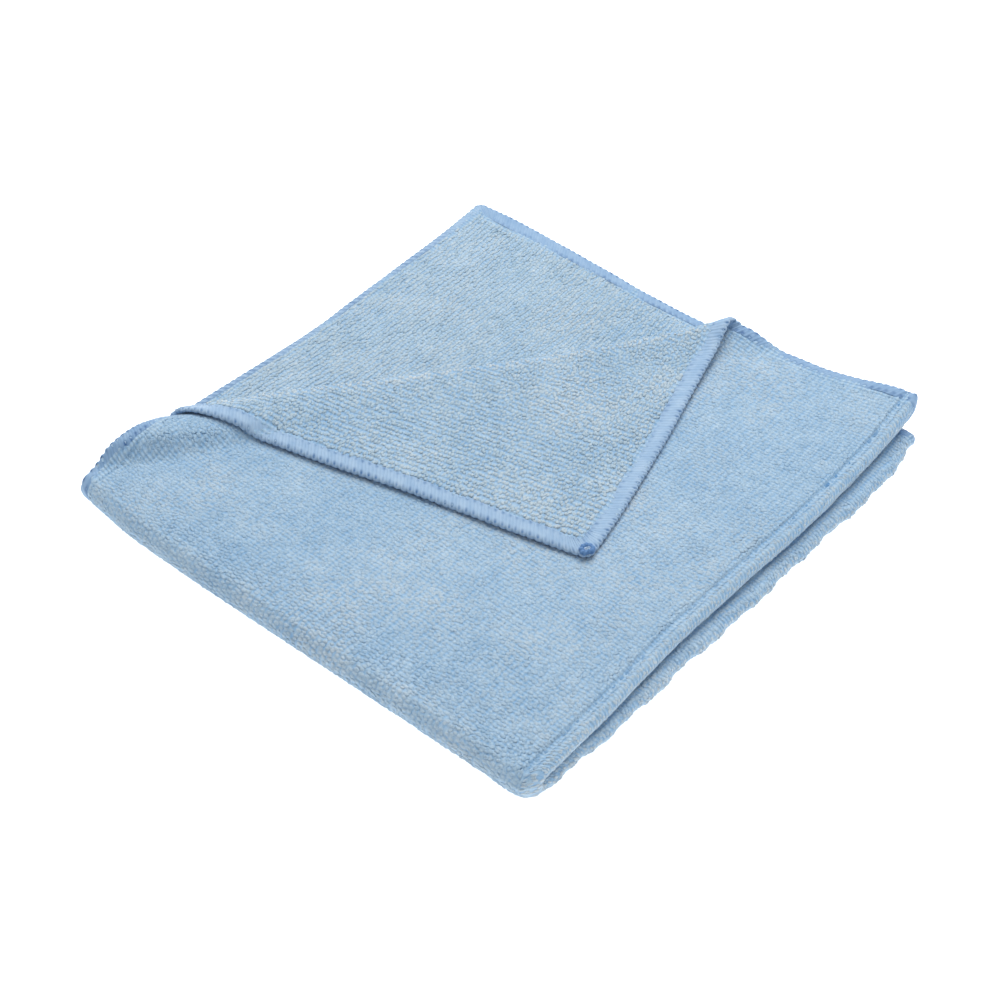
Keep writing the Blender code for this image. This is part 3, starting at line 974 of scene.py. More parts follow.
def make_tufts(name, places, side, shape, worn, shade, pile, material):
    """Tufts that stand on one face of the sheet at these flat places. worn holds the folds' wear with its
    painted sheen on the outer face and the painted highlight of the roll's crest on the corner, and shade how
    much lighter or darker each is, mostly painted light and shade.
    """
    across, along = places
    seed = PILE_SEEDS[name]
    random = np.random.default_rng(seed)
    tufts = len(across)
    facing = np.full(tufts, float(side))
    base = sheet_face(across, along, facing, pile) - TUFT_ROOT
    tall = shape.height * MM * random.normal(1, pile.uneven, tufts).clip(*HEIGHT_LIMITS)
    tall = tall * (1 + SWELLING * soft_hills(across, along, SWELLING_CELL, seed + 1))
    turn = random.uniform(-shape.twist, shape.twist, tufts)
    longer_a, longer_b = stretch(across, along, side * (base + tall / 2))
    matted = 1 + MATTING * soft_hills(across, along, MATTING_CELL, seed + 2)
    uneven_a = random.uniform(*WIDTH_LIMITS, tufts)
    uneven_b = random.uniform(*WIDTH_LIMITS, tufts)
    wide_a = shape.across * MM * matted * uneven_a / longer_a.clip(*STRETCH_LIMITS)
    wide_b = shape.along * MM * uneven_b / longer_b.clip(*STRETCH_LIMITS)
    if side > 0:
        combed = near_front_fold(along) - near_side_fold(across)
        wide_a = wide_a * (1 + COMBING * combed) * (1 - WORN_LESS_ACROSS * worn)
        wide_b = wide_b * (1 - COMBING * combed) * (1 - WORN_LESS_ALONG * worn)
        tall = tall * (1 + FRONT_TALLER * near_front_fold(along))
    own_lean_a = random.normal(0, LEAN_SPREAD, tufts)
    own_lean_b = random.normal(0, LEAN_SPREAD, tufts)
    lean_a = pile.lean * MM * (soft_hills(across, along, LEAN_CELL, seed + 3) + own_lean_a)
    lean_b = pile.lean * MM * (soft_hills(across, along, LEAN_CELL, seed + 4) + own_lean_b)

    unit = tuft_shape()
    rise = unit[None, :, 2]
    rough = random.uniform(1 - TUFT_ROUGHNESS, 1 + TUFT_ROUGHNESS, (2, tufts, len(unit)))
    turned_a = unit[None, :, 0] * np.cos(turn)[:, None] - unit[None, :, 1] * np.sin(turn)[:, None]
    turned_b = unit[None, :, 0] * np.sin(turn)[:, None] + unit[None, :, 1] * np.cos(turn)[:, None]
    flat = np.empty((tufts, len(unit), 3))
    flat[..., 0] = across[:, None] + wide_a[:, None] * turned_a * rough[0] + rise**2 * lean_a[:, None]
    flat[..., 1] = along[:, None] + wide_b[:, None] * turned_b * rough[0] + rise**2 * lean_b[:, None]
    flat[..., 2] = side * (base[:, None] + rise * tall[:, None] * rough[1])

    # Painted shade along the pile's partings darkens each tuft's tone, on top of its random mottle
    sunk = parted(across, along, OUTER_PARTINGS if side > 0 else INNER_PARTINGS)
    tone = random.normal(0, shape.mottle, tufts) - PARTING_TONE * sunk + shade
    # The wear values hold the folds' wear with its painted sheen, and the painted highlight of the roll's
    # crest
    values = {
        "tip": np.broadcast_to(rise, (tufts, len(unit))),
        "tone": np.repeat(tone, len(unit)),
        "highlight_and_wear": np.repeat(worn, len(unit)),
    }
    join_tufts(name, flat, values, side, material)


def make_outer_pile(pile, material):
    """The nap of the outer face: the top, the front fold and the two right folds."""
    start = OUTER_BAND + PILE_CLEARANCE
    end = FLAT_ALONG - start
    side_longer = (FIRST_RADIUS + THICKNESS / 2) / FIRST_RADIUS
    front_longer = SECOND_AXIS_Z / SECOND_RADIUS
    rows = rows_with_bend(start, OUTER_PILE_END, pile.row * MM, STRAIGHT_ACROSS, FIRST_BEND, side_longer)
    steps = rows_with_bend(start, end, pile.step * MM, STRAIGHT_ALONG, SECOND_BEND, front_longer)

    def looseness(across, along):
        near = np.maximum(near_side_fold(across), near_front_fold(along))
        return OUTER_LOOSENESS - NEATER_AT_FOLDS * near + LOOSER_WHERE_WORN * fold_wear_and_sheen(across)

    across, along = scatter(rows, steps, looseness, np.random.default_rng(OUTER_SEED))
    up_front = along > STRAIGHT_ALONG + FLOOR_TURN * SECOND_RADIUS
    round_side = across > STRAIGHT_ACROSS + FLOOR_TURN * FIRST_RADIUS
    seen = (up_front | round_side) & (across < OUTER_PILE_END) & (along < end)
    seen &= ~under_corner(across, along)
    across, along = across[seen], along[seen]
    # Painted sheen on the right folds, where the pile is also rubbed flat and its tufts made smaller
    worn = fold_wear_and_sheen(across)
    on_top = smooth((along - UPPER_START) / PILE_RAMP)
    # Painted shade in the groove and on the top near the front fold, and painted light on the front fold's
    # side
    in_groove = bell(across - GROOVE_ACROSS, GROOVE_HALF_WIDTH) * on_top
    patchy = 1 + soft_hills(across, along, *BESIDE_HEM_HILLS)
    beside_hem = patchy * bell(inset_of(across, along) - OUTER_BAND - BESIDE_HEM / 2, BESIDE_HEM)
    shade = blend(FRONT_SIDE_TONE, FRONT_TOP_TONE * near_front_fold(along), on_top)
    shade -= GROOVE_TONE * in_groove + BESIDE_HEM_TONE * beside_hem
    front = along <= np.median(along)
    shape = TuftShape(across=1.16, along=0.92, height=pile.nap_height, twist=1.2, mottle=1.0)
    for name, kept in (("outer_pile_front", front), ("outer_pile_back", ~front)):
        places = (across[kept], along[kept])
        make_tufts(name, places, 1, shape, worn[kept], shade[kept], pile, material)


def make_inner_pile(pile, material):
    """The loops of the inner face: on the turned-back corner, and on the layer that it uncovers."""
    rows = np.arange(INNER_PILE_INSET, FLAT_ACROSS - INNER_PILE_INSET, pile.row * MM)
    steps = np.arange(INNER_PILE_START, FLAT_ALONG - INNER_PILE_INSET, pile.step * MM)

    def looseness(across, _):
        return np.where(across < INNER_START, CORNER_LOOSENESS, UNCOVERED_LOOSENESS)

    across, along = scatter(rows, steps, looseness, np.random.default_rng(INNER_SEED))
    x, y, _, _ = in_square(across, along, np.zeros_like(across))
    place, past = crease_place(x, y)
    clear = inset_of(across, along) > inner_band(across, along) + PILE_CLEARANCE

    kept = clear & (across < STRAIGHT_ACROSS) & (past > -UNDER_ROLL)
    roll_end = math.pi * read_table(CREASE_ROWS, "radius", place[kept])
    # A painted highlight on the roll's crest: it is passed in place of wear, which paints the tufts pale, and
    # as a lighter tone
    crest = bell(past[kept] - roll_end, CREST_WIDTH)
    shape = TuftShape(across=1.14, along=0.84, height=pile.loop_height, twist=0.5, mottle=1.8)
    places = (across[kept], along[kept])
    make_tufts("corner_pile", places, -1, shape, crest, CREST_TONE * crest, pile, material)

    kept = clear & (across > INNER_START) & (past > -3 * UNDER_ROLL)
    shade = UNCOVERED_TONE - ROLL_SHADE_TONE * bell(past[kept] - ROLL_SHADE_PAST, ROLL_SHADE_WIDTH)
    shape = TuftShape(across=0.82, along=1.4, height=pile.loop_height, twist=0.1, mottle=2.6)
    places = (across[kept], along[kept])
    make_tufts("uncovered_pile", places, -1, shape, np.zeros_like(shade), shade, pile, material)


# ---------------------------------------------------------------- the hem


def stations(stitch):
    """Places round the flat cloth, as rows of (side, share of that side, stitches from the start)."""
    lengths = (FLAT_ALONG, FLAT_ACROSS, FLAT_ALONG, FLAT_ACROSS)
    found = []
    done = 0
    for side, length in enumerate(lengths):
        stitches = round(length / stitch)
        for number in range(stitches):
            middle = (number + 0.5) / stitches
            in_sight = (middle > SEEN_FROM, True, middle < 1 - SEEN_FROM, False)[side]
            steps = FINE_STEPS if in_sight else COARSE_STEPS
            for step in range(steps):
                found.append((side, (number + step / steps) / stitches, done + number + step / steps))
        done += stitches
    return np.array(found), done


def around(side, share, inset):
    """Flat places on the line that runs round the cloth at an inset from its rim."""
    length = np.where(side % 2 == 0, FLAT_ALONG, FLAT_ACROSS)
    place = length * share
    drawn_in = smooth(1 - place / CORNER_EASE) - smooth(1 - (length - place) / CORNER_EASE)
    run = place + inset * drawn_in
    sides = (side == 0, side == 1, side == 2)
    across = np.select(sides, (inset, run, FLAT_ACROSS - inset), FLAT_ACROSS - run)
    along = np.select(sides, (run, FLAT_ALONG - inset, FLAT_ALONG - run), inset)
    return across, along


def along_hem(stitches, total, change):
    """A soft random change along the hem, which meets itself where the hem's ends meet."""
    knots = max(FEWEST_CHANGES, int(total / change.stitches))
    lattice = np.random.default_rng(change.seed).uniform(-1, 1, knots)
    at = stitches / total * knots
    left = np.floor(at).astype(int)
    return change.amount * blend(lattice[left % knots], lattice[(left + 1) % knots], smooth(at - left))


def band_width(side, share):
    """How wide the band is on the inner face, at each station."""
    across, along = around(side, share, np.zeros(len(share)))
    back = read_table(BACK_BAND_ROWS, "band", across)
    inner = read_table(INNER_BAND_ROWS, "band", along)
    return np.select((side == 1, side == 2), (back, inner), HEM_WIDTH)


def band_inset(point, band):
    """Where a point of the cross-section lies, drawn in on the inner face where the band is narrow."""
    if point.side > 0 or point.inset < RIM_ROUND:
        return np.full(len(band), point.inset)
    return RIM_ROUND + (point.inset - RIM_ROUND) * (band - RIM_ROUND) / (HEM_WIDTH - RIM_ROUND)


def make_hem(hem, material):
    """The overlocked band of threads round the whole cloth, with a bead and a pit at each stitch."""
    found, total = stations(hem.stitch * MM)
    side, share, count = found[:, 0], found[:, 1], found[:, 2]
    band = band_width(side, share)
    loose = count + along_hem(count, total, STITCH_DRIFT)
    strength = PIT_STRENGTH + along_hem(count, total, PIT_CHANGE)
    wave = along_hem(count, total, HEM_WAVE)
    ragged = along_hem(count, total, RAGGED_LINE)
    across, along = around(side, share, np.zeros(len(found)))
    x, y, _, _ = in_square(across, along, np.zeros(len(found)))
    # Painted shade under the turned-back corner's hem, laid on its outer side in the pits' dark colour
    tucked = in_upper_outer(across, along) * smooth((crease_place(x, y)[1] - UNDER_ROLL) / DROOP_REACH)
    uncovered = (side == 1) & (across > INNER_START)

    rings, sections = len(found), len(BAND_SECTION)
    flat = np.empty((rings, sections, 3))
    pits_and_shade = np.zeros((rings, sections))
    crests = np.zeros((rings, sections))
    threads = np.empty((rings + 1, sections + 1))
    for number, point in enumerate(BAND_SECTION):
        inset = band_inset(point, band)
        stitches = loose + THREAD_SLANT * inset / (hem.stitch * MM)
        threads[:-1, number] = stitches * hem.stitch * MM
        phase = stitches % 1.0
        from_tick = np.minimum(phase, 1 - phase)
        bead = np.abs(np.cos(math.pi * phase)) ** BEAD_POWER
        near_rim = max(0.0, 1 - max(point.inset, 0.0) / RIM_ROUND)
        tick = strength * bell(from_tick, TICK_SHARE) * bell(inset - TICK_INSET, TICK_LENGTH)
        if point.side > 0:
            notch_inset, sunk = OUTER_BAND - OUTER_NOTCH_INSET, OUTER_NOTCH
            in_shade, dark = TUCKED_DARK * tucked, OUTER_DARK
        else:
            notch_inset, sunk = band - NOTCH_INSET, INNER_NOTCH
            in_shade, dark = 0.0, BACK_DARK * uncovered
        notch = sunk * strength * bell(from_tick, NOTCH_SHARE) * bell(inset - notch_inset, NOTCH_LENGTH)
        on_face = abs(point.side) * (point.rise > 0)
        # The ticks' and notches' pits are sunk, and also darkened with painted shade
        pit = on_face * np.maximum(tick, notch)
        inset = inset - near_rim * hem.bead * MM * bead
        if point.inset > RAGGED_FROM:
            inset = inset + ragged
        half = half_thickness(*around(side, share, np.maximum(inset, 0.0)))
        rise = point.rise * BAND_RISE * (1 + BEAD_RISE * near_rim * bead) - TICK_DEPTH * pit
        flat[:, number, 0], flat[:, number, 1] = around(side, share, inset)
        flat[:, number, 2] = point.side * (half + rise) + wave
        pits_and_shade[:, number] = np.maximum(pit, in_shade)
        # The crest: a painted highlight on the beads round the rim, less painted shade on the outer band and
        # the uncovered back band
        crests[:, number] = near_rim * bead - dark

    threads[-1] = threads[0] + total * hem.stitch * MM
    threads[:, -1] = threads[:, 0]
    ring, slot = np.meshgrid(np.arange(rings), np.arange(sections), indexing="ij")
    next_ring, next_slot = (ring + 1) % rings, (slot + 1) % sections
    near, far = ring * sections, next_ring * sections
    quads = np.stack((near + slot, near + next_slot, far + next_slot, far + slot), axis=-1).reshape(-1, 4)
    mesh = bpy.data.meshes.new("overlocked_hem")
    mesh.from_pydata(fold(flat.reshape(-1, 3)).tolist(), [], quads.tolist())
    map_hem(mesh, ring, slot, threads)
    add_values(mesh, "pit", pits_and_shade)
    add_values(mesh, "crest", crests)
    add_object("overlocked_hem", mesh, material)


def map_hem(mesh, ring, slot, threads):
    """Maps the threads' run, and the band cut into strips that lie side by side."""
    rings, sections = ring.shape
    run = np.stack((ring, ring, ring + 1, ring + 1), axis=-1).reshape(-1)
    over = np.stack((slot, slot + 1, slot + 1, slot), axis=-1).reshape(-1)
    insets = np.array([point.inset for point in (*BAND_SECTION, BAND_SECTION[0])])
    add_map(mesh, FLAT_MAP, np.stack((threads[run, over], insets[over]), axis=-1))
    length = math.ceil(rings / HEM_MAP_STRIPS)
    strip = np.repeat((ring // length).reshape(-1), 4)
    along_strip = HEM_MAP_ENDS + (1 - 2 * HEM_MAP_ENDS) * (run - strip * length) / length
    over_strip = (strip + HEM_MAP_EDGES + (1 - 2 * HEM_MAP_EDGES) * over / sections) / HEM_MAP_STRIPS
    add_map(mesh, BAKE_MAP, np.stack((along_strip, over_strip), axis=-1))


def wound_ring(shape):
    """Flat points of a ring of wound thread on the inner face, and how deep each is in a groove."""
    turn = 2 * math.pi * np.arange(KNOT_RINGS) / KNOT_RINGS
    roll = 2 * math.pi * np.arange(KNOT_SIDES) / KNOT_SIDES
    turn, roll = np.meshgrid(turn, roll, indexing="ij")
    winding = np.sin(shape.turns * turn + roll)
    tube = shape.thread * (1 + KNOT_WINDING * winding)
    reach = shape.radius + tube * np.cos(roll)
    across = KNOT_INSET + shape.shift_across + reach * np.cos(turn)
    along = FLAT_ALONG - KNOT_INSET + shape.shift_along + reach * np.sin(turn)
    outward = -(HEM_THICKNESS / 2 + KNOT_LIFT) - tube * np.sin(roll)
    return np.stack((across, along, outward), axis=-1).reshape(-1, 3), (0.5 - 0.5 * winding).ravel()


def make_corner_knot(material):
    """The wound tail of thread at the turned-back corner's tip, with painted shade in its grooves and a
    painted highlight on its middle bead.
    """
    shapes = (KNOT_COIL, KNOT_BEAD)
    wound = [wound_ring(shape) for shape in shapes]
    ring, slot = np.meshgrid(np.arange(KNOT_RINGS), np.arange(KNOT_SIDES), indexing="ij")
    near, far = ring * KNOT_SIDES, (ring + 1) % KNOT_RINGS * KNOT_SIDES
    next_slot = (slot + 1) % KNOT_SIDES
    quads = np.stack((near + slot, far + slot, far + next_slot, near + next_slot), axis=-1).reshape(-1, 4)
    mesh = bpy.data.meshes.new("corner_knot")
    points = fold(np.vstack([places for places, _ in wound]))
    mesh.from_pydata(points.tolist(), [], np.vstack((quads, quads + ring.size)).tolist())

    run = np.stack((ring, ring + 1, ring + 1, ring), axis=-1).reshape(-1) / KNOT_RINGS
    over = np.stack((slot, slot, slot + 1, slot + 1), axis=-1).reshape(-1) / KNOT_SIDES
    along_strip = KNOT_MAP_MARGIN + KNOT_MAP_LENGTH * run
    over_strip = KNOT_MAP_MARGIN + KNOT_MAP_WIDTH * over
    coil_map = np.stack((along_strip, over_strip), axis=-1)
    both = np.vstack((coil_map, coil_map + (0.0, KNOT_MAP_STEP)))
    add_map(mesh, BAKE_MAP, both)
    add_map(mesh, FLAT_MAP, both * KNOT_PATTERN)
    pits_and_shade = [shape.pit * grooves for shape, (_, grooves) in zip(shapes, wound)]
    add_values(mesh, "pit", np.concatenate(pits_and_shade))
    add_values(mesh, "crest", np.repeat([shape.crest for shape in shapes], ring.size))
    add_object("corner_knot", mesh, material)


# ---------------------------------------------------------------- materials

# Radians in a metre of waves that are a millimetre long
MM_WAVES = 2000 * math.pi

# The nap: fibres of size 1 in a metre along each axis, clouds in a metre, and how much of it is rubbed warm
NAP_LIE = (1000.0, 420.0, 1000.0)
NAP_DETAIL = 3.0
NAP_ROUGHNESS = 0.65
WIDE_CLOUDS = 50.0
SMALL_CLOUDS = 170.0
WARM_CLOUDS = 36.0
WARM_CONTRAST = 2.4
WARM_START = 0.15
FIBRE_SIZE = 0.45

# The ground's rows and the hem's threads: how they swing, how high each wave is, and how much it shades
ROW_SWINGS = 330.0
ROW_SWING = 5.0
ROW_WAVE = 0.3
LOOP_WAVE = 0.2
THREAD_SWINGS = 420.0
THREAD_SWING = 4.0
THREAD_CLOUDS = 260.0
THREAD_CLOUD_SHADE = 0.5
THREAD_WAVE_SHADE = 0.025

# How strongly finishes take warm places, painted sheen, highlight and wear, tones, and the painted shade and
# light of pits and crests
WARM_SHARE = 0.6
HIGHLIGHT_AND_WEAR_SHARE = 0.5
TONE_SHARE = 0.03
PIT_AND_SHADE_SHARE = 1.15
CREST_SHARE = 0.14
SHADE_GAMMA = -1.3
GROUND_FIBRES = 0.5
FIBRE_BUMP = 0.6 * MM
GROUND_BUMP = 0.5 * MM
THREAD_BUMP = 0.1 * MM
SHEEN_ROUGHNESS = 0.5
FIBRE_SPECULAR = 0.2
THREAD_SPECULAR = 0.3


def add_group(name, inputs, outputs):
    """A shader node group with named sockets, and its input and output nodes' sockets."""
    tree = bpy.data.node_groups.new(name, "ShaderNodeTree")
    for label, kind, value in inputs:
        socket = tree.interface.new_socket(label, in_out="INPUT", socket_type=kind)
        if value is not None:
            socket.default_value = value
    for label in outputs:
        tree.interface.new_socket(label, in_out="OUTPUT", socket_type="NodeSocketFloat")
    return tree, tree.nodes.new("NodeGroupInput").outputs, tree.nodes.new("NodeGroupOutput").inputs


def math_node(tree, operation, *values):
    """The result of a Math node fed by numbers or by sockets."""
    node = tree.nodes.new("ShaderNodeMath")
    node.operation = operation
    for socket, value in zip(node.inputs, values):
        if isinstance(value, bpy.types.NodeSocket):
            tree.links.new(value, socket)
        else:
            socket.default_value = value
    return node.outputs[0]


def noise_node(tree, vector, scale, detail=2.0, roughness=0.5):
    """Noise around 0."""
    node = tree.nodes.new("ShaderNodeTexNoise")
    node.inputs["Scale"].default_value = scale
    node.inputs["Detail"].default_value = detail
    node.inputs["Roughness"].default_value = roughness
    tree.links.new(vector, node.inputs["Vector"])
    return math_node(tree, "SUBTRACT", node.outputs["Fac"], 0.5)


def nap_group():
    """Fine fibres with a lie, and slow clouds of the nap: a height, a shade around 0 and a warm mask."""
    inputs = (
        ("Vector", "NodeSocketVector", None),
        ("Fibre size", "NodeSocketFloat", 0.5),
        ("Clouds", "NodeSocketFloat", 0.3),
        ("Grain", "NodeSocketFloat", 0.5),
    )
    tree, given, result = add_group("brushed_nap", inputs, ("Height", "Shade", "Warmth"))
    lie = tree.nodes.new("ShaderNodeVectorMath")
    lie.operation = "MULTIPLY"
    lie.inputs[1].default_value = NAP_LIE
    tree.links.new(given["Vector"], lie.inputs[0])
    size = tree.nodes.new("ShaderNodeVectorMath")
    size.operation = "SCALE"
    tree.links.new(lie.outputs[0], size.inputs[0])
    tree.links.new(math_node(tree, "DIVIDE", 1.0, given["Fibre size"]), size.inputs["Scale"])
    fibres = noise_node(tree, size.outputs[0], 1.0, NAP_DETAIL, NAP_ROUGHNESS)
    wide_clouds = noise_node(tree, given["Vector"], WIDE_CLOUDS)
    small_clouds = noise_node(tree, given["Vector"], SMALL_CLOUDS, NAP_DETAIL)
    clouds = math_node(tree, "ADD", wide_clouds, small_clouds)
    slow = math_node(tree, "MULTIPLY", clouds, given["Clouds"])
    tree.links.new(fibres, result["Height"])
    tree.links.new(math_node(tree, "MULTIPLY_ADD", fibres, given["Grain"], slow), result["Shade"])
    warm_clouds = noise_node(tree, given["Vector"], WARM_CLOUDS)
    warm = math_node(tree, "MULTIPLY_ADD", warm_clouds, WARM_CONTRAST, WARM_START)
    tree.links.new(math_node(tree, "MAXIMUM", warm, 0.0), result["Warmth"])
    return tree


def rows_group():
    """Rows of short loops on the flat cloth, as a height from 0 to 1."""
    inputs = (
        ("Vector", "NodeSocketVector", None),
        ("Row pitch", "NodeSocketFloat", 2.1),
        ("Loop pitch", "NodeSocketFloat", 1.5),
    )
    tree, given, result = add_group("terry_rows", inputs, ("Height",))
    parts = tree.nodes.new("ShaderNodeSeparateXYZ")
    tree.links.new(given["Vector"], parts.inputs[0])
    swing = math_node(tree, "MULTIPLY", noise_node(tree, given["Vector"], ROW_SWINGS), ROW_SWING)
    waves = []
    for axis, pitch in (("X", "Row pitch"), ("Y", "Loop pitch")):
        length = math_node(tree, "MULTIPLY", parts.outputs[axis], MM_WAVES)
        turns = math_node(tree, "DIVIDE", length, given[pitch])
        waves.append(math_node(tree, "SINE", math_node(tree, "ADD", turns, swing)))
    loops = math_node(tree, "MULTIPLY", waves[1], LOOP_WAVE)
    both = math_node(tree, "MULTIPLY_ADD", waves[0], ROW_WAVE, loops)
    tree.links.new(math_node(tree, "ADD", both, 0.5), result["Height"])
    return tree


def threads_group():
    """The fine ribs of satin threads across a hem, as a height from 0 to 1 and a shade around 0."""
    inputs = (("Vector", "NodeSocketVector", None), ("Thread", "NodeSocketFloat", 1.375))
    tree, given, result = add_group("hem_threads", inputs, ("Height", "Shade"))
    parts = tree.nodes.new("ShaderNodeSeparateXYZ")
    tree.links.new(given["Vector"], parts.inputs[0])
    length = math_node(tree, "MULTIPLY", parts.outputs["X"], MM_WAVES)
    turns = math_node(tree, "DIVIDE", length, given["Thread"])
    swing = math_node(tree, "MULTIPLY", noise_node(tree, given["Vector"], THREAD_SWINGS), THREAD_SWING)
    wave = math_node(tree, "SINE", math_node(tree, "ADD", turns, swing))
    tree.links.new(math_node(tree, "MULTIPLY_ADD", wave, 0.5, 0.5), result["Height"])
    clouds = noise_node(tree, given["Vector"], THREAD_CLOUDS)
    slow = math_node(tree, "MULTIPLY", clouds, THREAD_CLOUD_SHADE)
    tree.links.new(math_node(tree, "MULTIPLY_ADD", wave, THREAD_WAVE_SHADE, slow), result["Shade"])
    return tree


def new_material(name, roughness, sheen):
    material = bpy.data.materials.new(name)
    material.use_nodes = True
    tree = material.node_tree
    shader = tree.nodes["Principled BSDF"]
    shader.inputs["Roughness"].default_value = roughness
    shader.inputs["Sheen Weight"].default_value = sheen
    shader.inputs["Sheen Roughness"].default_value = SHEEN_ROUGHNESS
    shader.inputs["Specular IOR Level"].default_value = FIBRE_SPECULAR
    return material, tree, shader


def attribute_node(tree, name):
    node = tree.nodes.new("ShaderNodeAttribute")
    node.attribute_name = name
    return node.outputs["Fac"]


def object_places(tree):
    return tree.nodes.new("ShaderNodeTexCoord").outputs["Object"]


def map_places(tree, name):
    node = tree.nodes.new("ShaderNodeUVMap")
    node.uv_map = name
    return node.outputs["UV"]


def group_node(tree, group, vector, **values):
    """The outputs of a group placed with these values. fibre_size=0.4 sets the input Fibre size."""
    node = tree.nodes.new("ShaderNodeGroup")
    node.node_tree = group
    tree.links.new(vector, node.inputs["Vector"])
    for label, value in values.items():
        node.inputs[label.replace("_", " ").capitalize()].default_value = value
    return node.outputs


def mixed_colour(tree, amount, low, high):
    """A mix of two colours, each given as numbers or as a socket."""
    node = tree.nodes.new("ShaderNodeMix")
    node.data_type = "RGBA"
    tree.links.new(amount, node.inputs["Factor"])
    colour_inputs = [socket for socket in node.inputs if socket.type == "RGBA"]
    for socket, given in zip(colour_inputs, (low, high)):
        if isinstance(given, bpy.types.NodeSocket):
            tree.links.new(given, socket)
        else:
            socket.default_value = (*given, 1)
    return next(socket for socket in node.outputs if socket.type == "RGBA")


def brightened(tree, base_colour, amount):
    """The colour made paler, or darker and deeper, by a share around 0."""
    node = tree.nodes.new("ShaderNodeGamma")
    tree.links.new(base_colour, node.inputs["Color"])
    tree.links.new(math_node(tree, "MULTIPLY_ADD", amount, SHADE_GAMMA, 1.0), node.inputs["Gamma"])
    return node.outputs["Color"]


def add_bump(tree, shader, height, distance):
    node = tree.nodes.new("ShaderNodeBump")
    node.inputs["Distance"].default_value = distance
    tree.links.new(height, node.inputs["Height"])
    tree.links.new(node.outputs["Normal"], shader.inputs["Normal"])


Finish = namedtuple("Finish", "root tip warm clouds grain")


def brushed(tree, finish, groups):
    """The nap group's outputs with this finish's values."""
    values = {"fibre_size": FIBRE_SIZE, "clouds": finish.clouds, "grain": finish.grain}
    return group_node(tree, groups["nap"], object_places(tree), **values)


def pile_material(name, finish, groups):
    """Tufts with painted shade at their roots, brushed into clouds, with a painted sheen and highlight on the
    rubbed folds and the roll's crest.
    """
    _, tree, shader = new_material(name, roughness=0.95, sheen=0.15)
    nap = brushed(tree, finish, groups)
    # Painted shade: each tuft darkens from its tip down to its root
    tinted = mixed_colour(tree, attribute_node(tree, "tip"), finish.root, finish.tip)
    warm = math_node(tree, "MULTIPLY", nap["Warmth"], WARM_SHARE)
    tinted = mixed_colour(tree, warm, tinted, finish.warm)
    # Painted pale: the painted sheen and wear of the right folds, and the painted highlight on the roll's
    # crest
    worn = math_node(tree, "MULTIPLY", attribute_node(tree, "highlight_and_wear"), HIGHLIGHT_AND_WEAR_SHARE)
    tinted = mixed_colour(tree, worn, tinted, finish.warm)
    shade = math_node(tree, "MULTIPLY_ADD", attribute_node(tree, "tone"), TONE_SHARE, nap["Shade"])
    tree.links.new(brightened(tree, tinted, shade), shader.inputs["Base Color"])
    add_bump(tree, shader, nap["Height"], FIBRE_BUMP)


def sheet_material(name, finish, groups):
    """The ground that the tufts stand on, which shows between them and on the faces without any."""
    _, tree, shader = new_material(name, roughness=0.95, sheen=0.3)
    nap = brushed(tree, finish, groups)
    rows = group_node(tree, groups["rows"], map_places(tree, FLAT_MAP))
    # Painted shade in the hollows between the rows of loops: the ground darkens towards its root colour there
    tinted = mixed_colour(tree, rows["Height"], finish.root, finish.tip)
    tree.links.new(brightened(tree, tinted, nap["Shade"]), shader.inputs["Base Color"])
    height = math_node(tree, "MULTIPLY_ADD", nap["Height"], GROUND_FIBRES, rows["Height"])
    add_bump(tree, shader, height, GROUND_BUMP)


def thread_material(name, thread, pit_and_shade_colour, groups):
    """Satin threads, with painted shade in the pits at the stitches and under the turned-back corner's hem,
    painted highlights on the beads round the rim, and painted shade on the outer and back bands.
    """
    _, tree, shader = new_material(name, roughness=0.6, sheen=0.15)
    shader.inputs["Specular IOR Level"].default_value = THREAD_SPECULAR
    ribs = group_node(tree, groups["threads"], map_places(tree, FLAT_MAP))
    deep = math_node(tree, "MULTIPLY", attribute_node(tree, "pit"), PIT_AND_SHADE_SHARE)
    tinted = mixed_colour(tree, math_node(tree, "MINIMUM", deep, 1.0), thread, pit_and_shade_colour)
    shade = math_node(tree, "MULTIPLY_ADD", attribute_node(tree, "crest"), CREST_SHARE, ribs["Shade"])
    tree.links.new(brightened(tree, tinted, shade), shader.inputs["Base Color"])
    add_bump(tree, shader, ribs["Height"], THREAD_BUMP)


MATERIAL_NAMES = {
    "nap": "pale_blue_nap",
    "loops": "pale_blue_loops",
    "ground": "pale_blue_ground",
    "hem": "pale_blue_thread",
    "knot": "deep_blue_thread",
}


def make_materials(colours):
    groups = {"nap": nap_group(), "rows": rows_group(), "threads": threads_group()}
    nap = Finish(colours.nap_root, colours.nap_tip, colours.warm, clouds=0.35, grain=0.6)
    loops = Finish(colours.loop_root, colours.loop_tip, colours.warm, clouds=0.3, grain=0.6)
    pile_material(MATERIAL_NAMES["nap"], nap, groups)
    pile_material(MATERIAL_NAMES["loops"], loops, groups)
    sheet_material(MATERIAL_NAMES["ground"], nap, groups)
    thread_material(MATERIAL_NAMES["hem"], colours.thread, colours.pit, groups)
    thread_material(MATERIAL_NAMES["knot"], colours.knot, colours.pit, groups)


def material_for(key):
    """The material of that kind. All of them are made the first time that one is asked for."""
    if MATERIAL_NAMES[key] not in bpy.data.materials:
        make_materials(bpy.context.scene.cloth_colours)
    return bpy.data.materials[MATERIAL_NAMES[key]]


# ---------------------------------------------------------------- the add-on


def number(name, description, default, **more):
    return bpy.props.FloatProperty(name=name, description=description, default=default, **more)


def colour(name, description, default):
    return bpy.props.FloatVectorProperty(
        name=name, description=description, default=default, size=3, min=0.0, max=1.0, subtype="COLOR"
    )


